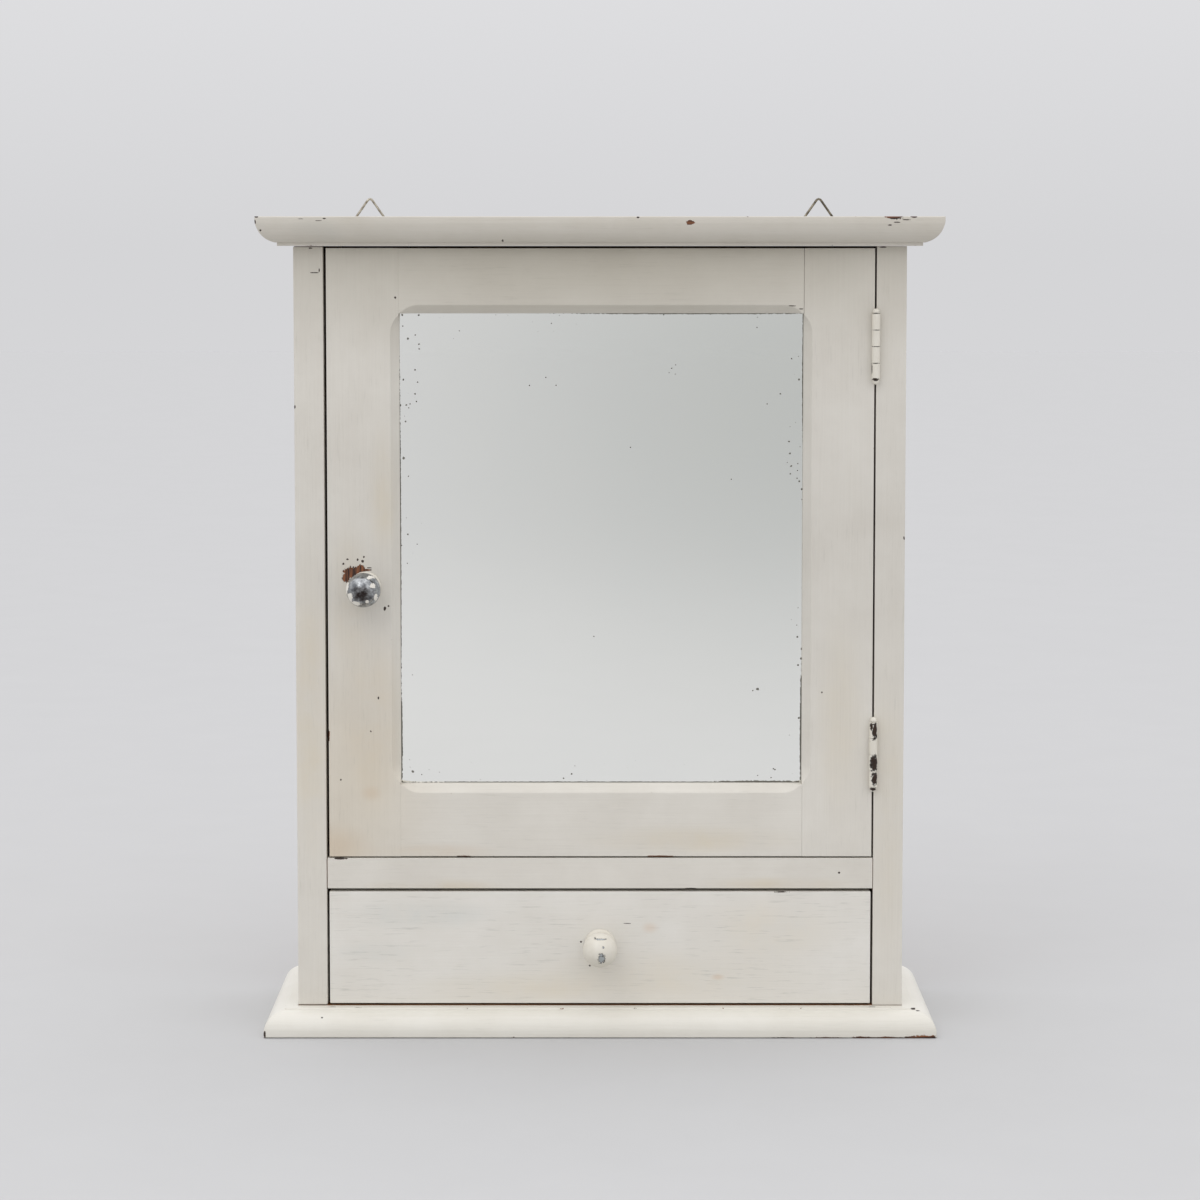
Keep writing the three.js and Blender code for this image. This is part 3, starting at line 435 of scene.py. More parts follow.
    def _relief(self, recipe: Recipe, brush: Socket, lost: Socket) -> None:
        """Raises the brush marks in the film, and the film's own step at a chip.

        Args:
            recipe: The material.
            brush: The brush marks.
            lost: The mask of the places without paint.
        """
        marks = recipe.add("ShaderNodeBump", {"Height": brush, "Distance": self.brush_depth * MM})
        film = recipe.add("ShaderNodeMath", {0: 1.0, 1: lost}, operation="SUBTRACT")
        step = recipe.add("ShaderNodeBump", {"Height": film.outputs[0], "Distance": self.film * MM,
                                             "Normal": marks.outputs[0]})
        recipe.feed(recipe.shader, "Normal", step.outputs[0])


@dataclass(frozen=True)
class BareWood:
    """Planed pine left bare: warm brown, rings along the grain, dry and without gloss."""

    name: str
    grain: Grain
    light: str = "a9794c"
    dark: str = "80532f"
    ring_pitch: float = 3.6
    pore: str = "7d6a52"
    pore_pitch: float = 0.5
    pore_length: float = 9.0
    pore_depth: float = 0.12

    def material(self) -> Material:
        """Writes the material.

        Returns:
            The finished material.
        """
        recipe = Recipe(self.name)
        rings = PineGrain(self.light, self.dark, self.ring_pitch).colour(recipe, self.grain)
        pores = recipe.add("ShaderNodeMapping", {0: recipe.place, 3: self.grain.stretch(self.pore_pitch,
                                                                                   self.pore_length)})
        pore = recipe.add("ShaderNodeTexNoise", {"Vector": pores.outputs[0], "Scale": 1.0, "Detail": 2.0})
        share = recipe.add("ShaderNodeMapRange", {0: pore.outputs[0], 1: 0.3, 2: 0.7, 3: 0.0, 4: 0.35})
        colour = recipe.add("ShaderNodeMix", {0: share.outputs[0], 6: rings, 7: linear(self.pore)},
                            data_type="RGBA", blend_type="MULTIPLY")
        recipe.feed(recipe.shader, "Base Color", colour.outputs[2])
        recipe.feed(recipe.shader, "Roughness", 0.74)
        relief = recipe.add("ShaderNodeBump", {"Height": pore.outputs[0], "Distance": self.pore_depth * MM})
        recipe.feed(recipe.shader, "Normal", relief.outputs[0])
        return recipe.material


@dataclass(frozen=True)
class SilveredGlass:
    """Old float glass silvered on its back: a clean reflection, a trace of green, black specks
    where damp has crept under the silver, thickest along the edges, and a darker reflection painted in
    towards one corner."""

    name: str
    dark_reflection: Patch  # where a darker reflection is painted into the glass's colour
    specks: Sequence[Patch]
    middle: Point  # the middle of the glass in view
    half: Point  # half of its width, depth and height
    tint: str = "fdfdf9"
    clear: str = "fafbf8"
    cloud_size: float = 90.0
    speck: str = "6a685f"
    # the tint of the painted dark reflection
    dark_reflection_tint: str = "e2e4e2"

    def material(self) -> Material:
        """Writes the material.

        Returns:
            The finished material.
        """
        recipe = Recipe(self.name)
        large = patch_mask(recipe, self.specks, recipe.rag(1.6, 2.2, 3.0))
        black = recipe.add("ShaderNodeMath", {0: large, 1: self._damp(recipe)},
                           operation="MAXIMUM").outputs[0]
        cloud = recipe.add("ShaderNodeTexNoise", {"Vector": recipe.place, "Scale": 1 / (self.cloud_size * MM),
                                                  "Detail": 3.0}).outputs[0]
        tint = recipe.add("ShaderNodeMix", {0: cloud, 6: linear(self.tint), 7: linear(self.clear)},
                          data_type="RGBA").outputs[2]
        # painted dark reflection: darkens the glass towards the patch's middle
        dull = recipe.add("ShaderNodeMapRange", {0: self.dark_reflection.distance(recipe), 3: 0.95, 4: 0.0},
                          interpolation_type="SMOOTHSTEP")
        tint = recipe.add("ShaderNodeMix", {0: dull.outputs[0], 6: tint, 7: linear(self.dark_reflection_tint)},
                          data_type="RGBA", blend_type="MULTIPLY").outputs[2]
        colour = recipe.add("ShaderNodeMix", {0: black, 6: tint, 7: linear(self.speck)}, data_type="RGBA")
        metal = recipe.add("ShaderNodeMath", {0: 1.0, 1: black}, operation="SUBTRACT")
        rough = recipe.add("ShaderNodeMapRange", {0: black, 3: 0.035, 4: 0.5})
        recipe.feed(recipe.shader, "Base Color", colour.outputs[2])
        recipe.feed(recipe.shader, "Metallic", metal.outputs[0])
        recipe.feed(recipe.shader, "Roughness", rough.outputs[0])
        return recipe.material

    def _damp(self, recipe: Recipe) -> Socket:
        """Adds a mask of fine specks that grow denser towards the edges of the glass.

        Args:
            recipe: The material.

        Returns:
            The mask.
        """
        offset = recipe.add("ShaderNodeVectorMath", {0: recipe.place, 1: mm(*self.middle)},
                            operation="SUBTRACT")
        shares = tuple(1 / (s * MM) for s in self.half)
        scaled = recipe.add("ShaderNodeVectorMath", {0: offset.outputs[0], 1: shares}, operation="MULTIPLY")
        size = recipe.add("ShaderNodeVectorMath", {0: scaled.outputs[0]}, operation="ABSOLUTE")
        parts = recipe.add("ShaderNodeSeparateXYZ", {0: size.outputs[0]})
        rim = recipe.add("ShaderNodeMath", {0: parts.outputs[0], 1: parts.outputs[2]}, operation="MAXIMUM")
        grain = recipe.add("ShaderNodeTexVoronoi", {"Vector": recipe.place, "Scale": 1 / (4.5 * MM)})
        patchy = recipe.add("ShaderNodeTexNoise", {"Vector": recipe.place, "Scale": 1 / (38 * MM),
                                                   "Detail": 2.0})
        reach = recipe.add("ShaderNodeMapRange", {0: rim.outputs[0], 1: 0.86, 2: 1.0, 3: 0.0, 4: 0.2})
        spread = recipe.add("ShaderNodeMapRange", {0: patchy.outputs[0], 1: 0.45, 2: 0.65})
        limit = recipe.add("ShaderNodeMath", {0: reach.outputs[0], 1: spread.outputs[0]},
                           operation="MULTIPLY")
        return recipe.add("ShaderNodeMath", {0: grain.outputs["Distance"], 1: limit.outputs[0]},
                          operation="LESS_THAN").outputs[0]


@dataclass(frozen=True)
class WornChrome:
    """Chromium-plated brass, old: bright grey metal, clouded where it is worn, with dabs of cream paint that
    are partly painted highlights, and a dark brown patch that is partly tarnish and partly a painted dark
    reflection."""

    name: str
    # cream paint dabs, partly painted highlights
    dabs_and_highlights: Sequence[Patch]
    # the brown patch: tarnish, and partly a painted dark reflection
    tarnish_and_dark_reflection: Patch
    worn: str = "6f7174"
    bright: str = "b9bbbc"
    # the colour of the tarnish and of its painted dark reflection
    brown: str = "2b211e"
    paint: str = "e4e0d7"
    cloud_size: float = 5.0
    shine: tuple[float, float] = (0.1, 0.26)  # roughness of the bright and of the worn places
    dab_height: float = 0.25

    def material(self) -> Material:
        """Writes the material.

        Returns:
            The finished material.
        """
        recipe = Recipe(self.name)
        rag = recipe.rag(2.6, 2.4, roughness=0.65)
        # the paint dabs, placed partly as painted highlights
        dabs_and_highlights = patch_mask(recipe, self.dabs_and_highlights, rag)
        cloud = recipe.add("ShaderNodeTexNoise", {"Vector": recipe.place,
                                                  "Scale": 1 / (self.cloud_size * MM),
                                                  "Detail": 5.0, "Roughness": 0.7}).outputs[0]
        ramp = recipe.add("ShaderNodeValToRGB", {0: cloud})
        first, last = ramp.color_ramp.elements
        first.position, first.color = 0.38, linear(self.worn)
        last.position, last.color = 0.62, linear(self.bright)
        # the brown patch, partly tarnish and partly a painted dark reflection, browns the metal towards its
        # middle
        depth = recipe.add("ShaderNodeMath", {0: self.tarnish_and_dark_reflection.distance(recipe), 1: rag}, operation="ADD")
        share = recipe.add("ShaderNodeMapRange", {0: depth.outputs[0], 1: 0.1, 2: 1.3, 3: 0.96, 4: 0.0},
                           interpolation_type="SMOOTHSTEP")
        dull = recipe.add("ShaderNodeMix", {0: share.outputs[0], 6: ramp.outputs[0], 7: linear(self.brown)},
                          data_type="RGBA").outputs[2]
        colour = recipe.add("ShaderNodeMix", {0: dabs_and_highlights, 6: dull, 7: linear(self.paint)}, data_type="RGBA")
        metal = recipe.add("ShaderNodeMath", {0: 1.0, 1: dabs_and_highlights}, operation="SUBTRACT")
        worn = recipe.add("ShaderNodeMapRange", {0: cloud, 1: 0.35, 2: 0.65, 3: self.shine[0],
                                                 4: self.shine[1]})
        rough = recipe.add("ShaderNodeMath", {0: worn.outputs[0], 1: dabs_and_highlights}, operation="MAXIMUM")
        recipe.feed(recipe.shader, "Base Color", colour.outputs[2])
        recipe.feed(recipe.shader, "Metallic", metal.outputs[0])
        recipe.feed(recipe.shader, "Roughness", rough.outputs[0])
        step = recipe.add("ShaderNodeBump", {"Height": dabs_and_highlights, "Distance": self.dab_height * MM})
        recipe.feed(recipe.shader, "Normal", step.outputs[0])
        return recipe.material


@dataclass(frozen=True)
class PaintedSteel:
    """Steel brushed over with the cabinet's cream paint: thick in the corners, lumpy, and flaked
    off in places down to dark oxidised metal."""

    name: str
    chips: Sequence[Patch] = ()
    flaking: float = 0.0  # share of the surface that has flaked off
    light: str = "dfdbd0"
    metal: str = "2c2521"
    dull: str = "4b3a30"
    rag_size: float = 1.5
    rag_depth: float = 2.4
    dirty_rim: float = 0.22  # share of a chip that is black with dirt
    dark: str = "d8d2c4"
    dirt: str = "3a3733"
    cloud_size: float = 7.0
    lump: float = 0.5  # height of the brushed paint's lumps
    film: float = 0.25

    def material(self) -> Material:
        """Writes the material.

        Returns:
            The finished material.
        """
        recipe = Recipe(self.name)
        rag = recipe.rag(self.rag_size, self.rag_depth)
        limit = (noise_limit(self.flaking) - 0.5) * self.rag_depth
        lost = recipe.add("ShaderNodeMath", {0: rag, 1: limit}, operation="GREATER_THAN").outputs[0]
        clean = lost
        if self.chips:
            chipped = patch_mask(recipe, self.chips, rag)
            lost = recipe.add("ShaderNodeMath", {0: lost, 1: chipped}, operation="MAXIMUM").outputs[0]
            inset = recipe.add("ShaderNodeMath", {0: rag, 1: self.dirty_rim}, operation="ADD").outputs[0]
            clean = recipe.add("ShaderNodeMath", {0: clean, 1: patch_mask(recipe, self.chips, inset)},
                               operation="MAXIMUM").outputs[0]
        cloud = recipe.add("ShaderNodeTexNoise", {"Vector": recipe.place,
                                                  "Scale": 1 / (self.cloud_size * MM),
                                                  "Detail": 3.0}).outputs[0]
        paint = recipe.add("ShaderNodeMix", {0: cloud, 6: linear(self.light), 7: linear(self.dark)},
                           data_type="RGBA").outputs[2]
        rust = recipe.add("ShaderNodeMix", {0: cloud, 6: linear(self.metal), 7: linear(self.dull)},
                          data_type="RGBA").outputs[2]
        dirty = recipe.add("ShaderNodeMix", {0: lost, 6: paint, 7: linear(self.dirt)}, data_type="RGBA")
        colour = recipe.add("ShaderNodeMix", {0: clean, 6: dirty.outputs[2], 7: rust}, data_type="RGBA")
        recipe.feed(recipe.shader, "Base Color", colour.outputs[2])
        metal = recipe.add("ShaderNodeMath", {0: clean, 1: 0.7}, operation="MULTIPLY")
        recipe.feed(recipe.shader, "Metallic", metal.outputs[0])
        rough = recipe.add("ShaderNodeMapRange", {0: cloud, 3: 0.36, 4: 0.6})
        recipe.feed(recipe.shader, "Roughness", rough.outputs[0])
        lumps = recipe.add("ShaderNodeBump", {"Height": cloud, "Distance": self.lump * MM})
        film = recipe.add("ShaderNodeMath", {0: 1.0, 1: lost}, operation="SUBTRACT")
        step = recipe.add("ShaderNodeBump", {"Height": film.outputs[0], "Distance": self.film * MM,
                                             "Normal": lumps.outputs[0]})
        recipe.feed(recipe.shader, "Normal", step.outputs[0])
        return recipe.material


@dataclass(frozen=True)
class Metal:
    """Plain metal with an aged surface: two tones in clouds, and pits that catch the light."""

    name: str
    light: str
    dark: str
    cloud_size: float
    shine: tuple[float, float]  # roughness of the bright and of the dull places
    pit: float  # depth of the pits

    def material(self) -> Material:
        """Writes the material.

        Returns:
            The finished material.
        """
        recipe = Recipe(self.name)
        cloud = recipe.add("ShaderNodeTexNoise", {"Vector": recipe.place,
                                                  "Scale": 1 / (self.cloud_size * MM),
                                                  "Detail": 6.0, "Roughness": 0.7}).outputs[0]
        share = recipe.add("ShaderNodeMapRange", {0: cloud, 1: 0.35, 2: 0.65}).outputs[0]
        colour = recipe.add("ShaderNodeMix", {0: share, 6: linear(self.dark), 7: linear(self.light)},
                            data_type="RGBA")
        rough = recipe.add("ShaderNodeMapRange", {0: share, 3: self.shine[1], 4: self.shine[0]})
        relief = recipe.add("ShaderNodeBump", {"Height": cloud, "Distance": self.pit * MM})
        recipe.feed(recipe.shader, "Metallic", 1.0)
        recipe.feed(recipe.shader, "Base Color", colour.outputs[2])
        recipe.feed(recipe.shader, "Roughness", rough.outputs[0])
        recipe.feed(recipe.shader, "Normal", relief.outputs[0])
        return recipe.material


@dataclass(frozen=True)
class MouldedPlastic:
    """Brown polypropylene, injection moulded: even colour, satin, with a fine spark texture."""

    name: str
    colour: str = "5b4031"
    shade: str = "513829"
    texture: float = 0.9  # from one bump of the mould's texture to the next

    def material(self) -> Material:
        """Writes the material.

        Returns:
            The finished material.
        """
        recipe = Recipe(self.name)
        spark = recipe.add("ShaderNodeTexNoise", {"Vector": recipe.place, "Scale": 1 / (self.texture * MM),
                                                  "Detail": 2.0}).outputs[0]
        tone = recipe.add("ShaderNodeMix", {0: spark, 6: linear(self.colour), 7: linear(self.shade)},
                          data_type="RGBA")
        relief = recipe.add("ShaderNodeBump", {"Height": spark, "Distance": 0.06 * MM})
        recipe.feed(recipe.shader, "Base Color", tone.outputs[2])
        recipe.feed(recipe.shader, "Roughness", 0.42)
        recipe.feed(recipe.shader, "IOR", 1.49)
        recipe.feed(recipe.shader, "Normal", relief.outputs[0])
        return recipe.material


@dataclass(frozen=True)
class PaperFloor:
    """A roll of pale matt studio paper, with the faintest fibre in it."""

    name: str = "studio_paper"
    tone: str = "c1c1c1"
    fibre: str = "bebebe"
    fibre_size: float = 60.0

    def material(self) -> Material:
        """Writes the material.

        Returns:
            The finished material.
        """
        recipe = Recipe(self.name)
        fibre = recipe.add("ShaderNodeTexNoise", {"Vector": recipe.place, "Scale": 1 / (self.fibre_size * MM),
                                                  "Detail": 4.0}).outputs[0]
        colour = recipe.add("ShaderNodeMix", {0: fibre, 6: linear(self.tone), 7: linear(self.fibre)},
                            data_type="RGBA")
        recipe.feed(recipe.shader, "Base Color", colour.outputs[2])
        recipe.feed(recipe.shader, "Roughness", 0.95)
        recipe.feed(recipe.shader, "Specular IOR Level", 0.1)
        return recipe.material


# --------------------------------------------------------------------------------------------
# Shaping


def new_piece(name: str, shape: Shape, body: str, material: Material,
              stands_for: str | None = None) -> None:
    """Turns a finished bmesh into a piece of the cabinet.

    Args:
        name: The piece's name.
        shape: Its mesh, in place, in metres. It is freed.
        body: The CAD body that it rides on.
        material: Its finish.
        stands_for: The CAD node that it replaces.
    """
    mesh = bpy.data.meshes.new(name)
    shape.to_mesh(mesh)
    shape.free()
    mesh.shade_smooth()
    mesh.materials.append(material)
    piece = bpy.data.objects.new(name, mesh)
    bpy.context.scene.collection.objects.link(piece)
    normals = piece.modifiers.new("even_shading", "WEIGHTED_NORMAL")
    normals.keep_sharp = True
    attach(piece, body)
    if stands_for is not None:
        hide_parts(stands_for)
    LOG.info("%s: %d faces on %s", name, len(mesh.polygons), body)


def frame_shape(node: str) -> Shape:
    """Copies a CAD node's mesh, with its loose corners merged and its flat faces whole.

    Args:
        node: The CAD node.

    Returns:
        The copy.
    """
    shape = bmesh.new()
    shape.from_mesh(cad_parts[node].data)
    for layer in list(shape.loops.layers.uv):
        shape.loops.layers.uv.remove(layer)
    bmesh.ops.remove_doubles(shape, verts=shape.verts, dist=WELD)
    bmesh.ops.dissolve_limit(shape, angle_limit=math.radians(FLAT), verts=shape.verts, edges=shape.edges)
    return shape


def turning(edge: Edge) -> float:
    """How far the surface turns over an edge.

    Args:
        edge: The edge.

    Returns:
        The turn in degrees, less than 0 at an inner corner.
    """
    if len(edge.link_faces) != 2:
        return 0.0
    return math.degrees(edge.calc_face_angle_signed(0.0))


def ease(shape: Shape, width: float, steps: int = 2,
         chosen: Callable[[Edge], bool] = lambda edge: True) -> None:
    """Rounds the outer edges of a shape and marks the rounding in its edge attribute.

    Args:
        shape: The shape.
        width: Width of the rounding, in millimetres.
        steps: Number of faces across it.
        chosen: Says whether an edge may be rounded.
    """
    mark = shape.faces.layers.float.get("edge") or shape.faces.layers.float.new("edge")
    sharp = [e for e in shape.edges if turning(e) > OUTER_EDGE and chosen(e)]
    made = bmesh.ops.bevel(shape, geom=sharp, offset=width * MM, offset_type="OFFSET", affect="EDGES",
                           segments=steps, profile=0.5, material=-1, clamp_overlap=True)
    for face in made["faces"]:
        face[mark] = 1.0


def crease(shape: Shape, angle: float = CREASE) -> None:
    """Keeps the edges sharp where the surface turns a lot.

    Args:
        shape: The shape.
        angle: The turn from which an edge is sharp, in degrees.
    """
    for edge in shape.edges:
        edge.smooth = abs(turning(edge)) < angle


def lay_bare(shape: Shape, chosen: Callable[[Face], bool]) -> None:
    """Marks faces in the bare attribute, as faces that no brush reached.

    Args:
        shape: The shape.
        chosen: Says which faces.
    """
    mark = shape.faces.layers.float.get("bare") or shape.faces.layers.float.new("bare")
    for face in shape.faces:
        if chosen(face):
            face[mark] = 1.0


def looks_back(face: Face) -> bool:
    """Whether a face looks to the wall."""
    return face.normal.y > FACING


def along(way: Point, share: float = 0.9) -> Callable[[Edge], bool]:
    """Makes a test for edges that run a given way.

    Args:
        way: The way, of length 1.
        share: Share of an edge's own way from which it counts.

    Returns:
        The test.
    """
    def runs(edge: Edge) -> bool:
        """Whether an edge runs that way."""
        own = edge.verts[1].co - edge.verts[0].co
        return abs(own.normalized().dot(Vector(way))) > share

    return runs


def cut(shape: Shape, point: Sequence[float], normal: Sequence[float], clear: bool = False) -> list[Edge]:
    """Divides a shape along a plane.

    Args:
        shape: The shape.
        point: A point of the plane, in metres.
        normal: The way that the plane faces.
        clear: Whether what lies beyond the plane goes.

    Returns:
        The edges in the plane.
    """
    geometry = shape.verts[:] + shape.edges[:] + shape.faces[:]
    made = bmesh.ops.bisect_plane(shape, geom=geometry, dist=WELD, plane_co=point, plane_no=normal,
                                  clear_outer=clear)
    return [e for e in made["geom_cut"] if isinstance(e, Edge)]


def dress(node: str, material: Material) -> None:
    """Gives a CAD node that stays in view its finish.

    Args:
        node: The CAD node.
        material: Its finish.
    """
    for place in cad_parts[node].material_slots:
        place.material = material
    LOG.info("%s: kept from the frame", node)


def eased(node: str, body: str, material: Material, width: float = 0.6,
          bare: Callable[[Face], bool] | None = None,
          change: Callable[[Shape], None] | None = None,
          chosen: Callable[[Edge], bool] = lambda edge: True) -> None:
    """Makes the visible piece for a CAD node: the same shape with its edges rounded by hand.

    Args:
        node: The CAD node, whose name the piece keeps with an ending.
        body: The body that it rides on.
        material: Its finish.
        width: Width of the rounding, in millimetres.
        bare: Says which faces have no paint.
        change: Changes the shape before its edges are rounded.
        chosen: Says whether an edge may be rounded.
    """
    shape = frame_shape(node)
    if change is not None:
        change(shape)
    if bare is not None:
        lay_bare(shape, bare)
    if width > 0:
        ease(shape, width, chosen=chosen)
    crease(shape)
    new_piece(f"{node}_worn", shape, body, material, node)


def round_axis(node: str) -> tuple[Vector, float, float]:
    """Measures a round CAD node whose axis runs to the front.

    Args:
        node: The CAD node.

    Returns:
        Its axis at its back, in metres, and its radius and its length, in millimetres.
    """
    low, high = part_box(node)
    axis = Vector(((low.x + high.x) / 2, high.y, (low.z + high.z) / 2))
    return axis, (high.x - low.x) / 2 / MM, (high.y - low.y) / MM


def turned(outline: Iterable[tuple[float, float]], centre: Vector, steps: int = 48) -> Shape:
    """Spins an outline about an axis along Y.

    Args:
        outline: Points of radius and distance towards the front, in millimetres.
        centre: The axis, at the wood's face, in metres.
        steps: Faces round the axis.

    Returns:
        The turned shape, closed at its poles.
    """
    shape = bmesh.new()
    points = [shape.verts.new(centre + mm(radius, -ahead, 0)) for radius, ahead in outline]
    for first, second in zip(points, points[1:]):
        shape.edges.new((first, second))
    bmesh.ops.spin(shape, geom=shape.verts[:] + shape.edges[:], cent=centre, axis=(0, 1, 0),
                   angle=2 * math.pi, steps=steps, use_merge=True)
    bmesh.ops.remove_doubles(shape, verts=shape.verts, dist=WELD)
    bmesh.ops.recalc_face_normals(shape, faces=shape.faces)
    return shape


# --------------------------------------------------------------------------------------------
# The case


SHADED_CORNICE_CREAM = ("cfcac0", "c6c0b4")  # the cornice's cream, darkened as painted shade because its curve faces down; the top board shares it
CORNICE_SHADE = Stain((0, FRONT, 256), (900, 60, 200), "d2cfc6", 0.75, True)  # painted shade under the cornice, strongest at the top of the front
MIDDLE_SHADE = Stain((30, FRONT, 60), (900, 60, 380), "e9e9e9", 0.5, True)  # painted shade: an even grey film that darkens the front, most in its middle


def side_cracks() -> tuple[Patch, ...]:
    """Small nicks of the side boards: a hook near the top of the left one and a few specks.

    Returns:
        The nicks.
    """
    return spots(FRONT, 6,
                 (-186.0, 233.6, 5.4, 0.7), (-183.0, 235.0, 0.8, 2.6), (-199.6, 146.0, 1.2, 2.2),
                 (-188.6, 249.6, 2.4, 0.9), (184.0, 250.2, 5.0, 0.8), (199.4, 60.0, 1.0, 2.4))


def cornice_wear() -> tuple[Patch, ...]:
    """Chips of the cornice's upper edge, the largest at its right end.

    Returns:
        The chips.
    """
    return (
        Patch((189.4, -152.4, 269.8), (11.0, 8, 3.6)),
        Patch((202.4, -152.4, 269.8), (4.6, 7, 1.4)),
        Patch((58.2, -151.8, 266.0), (5.4, 8, 2.8)),
        Patch((-120.0, -128.0, 270.0), (7.0, 2.6, 3)),
        Patch((218.0, -40.0, 270.0), (3.0, 14, 3)),
    )


def cornice_cracks() -> tuple[Patch, ...]:
    """Nicks of the cornice: beside the chips, at its left end and a few along its face.

    Returns:
        The nicks.
    """
    return (
        Patch((187.0, -152.0, 264.4), (2.6, 6, 0.8)),
        Patch((191.4, -152.2, 266.2), (4.6, 6, 0.7)),
        Patch((197.4, -152.4, 267.8), (5.0, 6, 0.7)),
        Patch((24.6, -152.4, 269.4), (1.8, 5, 1.0)),
        Patch((-63.0, -136.0, 254.6), (1.6, 30, 1.8)),
        Patch((-221.4, -152.4, 269.6), (2.6, 6, 1.2)),
        Patch((-222.2, -152.0, 266.4), (1.0, 6, 2.6)),
        Patch((-219.0, -150.5, 261.0), (1.2, 6, 1.2)),
        Patch((-193.0, -152.4, 268.4), (3.6, 6, 0.45)),
        Patch((-181.4, -152.4, 267.2), (4.0, 6, 0.45)),
        Patch((-177.6, -152.4, 268.6), (2.0, 6, 0.7)),
    )


def base_wear() -> tuple[Patch, ...]:
    """Chips of the base: its lower edge is rubbed brown at the right.

    Returns:
        The chips.
    """
    return (
        Patch((213.5, -151.0, -268.0), (18.0, 7, 3.4)),
        Patch((205.0, -151.2, -268.2), (14.0, 6, 2.8)),
        Patch((188.0, -151.2, -268.2), (22.0, 6, 2.0)),
        Patch((172.0, -151.2, -268.2), (14.0, 6, 2.2)),
        Patch((150.0, -151.2, -268.2), (24.0, 6, 1.3)),
        Patch((120.0, -151.2, -268.2), (20.0, 6, 1.1)),
    )


def base_cracks() -> tuple[Patch, ...]:
    """Nicks of the base: along its joint with the case, on its right mitre and at its left end.

    Returns:
        The nicks.
    """
    return (
        Patch((-220.4, -150.5, -266.0), (1.4, 6, 4.6)),
        Patch((-183.0, -147.0, -255.4), (1.3, 5, 1.1)),
        Patch((-176.8, -134.6, -251.0), (3.6, 1.1, 3)),
        Patch((-160.0, -136.4, -251.0), (5.0, 0.9, 3)),
        Patch((180.2, -134.6, -251.0), (4.6, 1.3, 3)),
        Patch((207.0, -138.0, -252.0), (3.6, 1.6, 3)),
        Patch((210.0, -140.4, -252.4), (2.6, 2.2, 3)),
    )


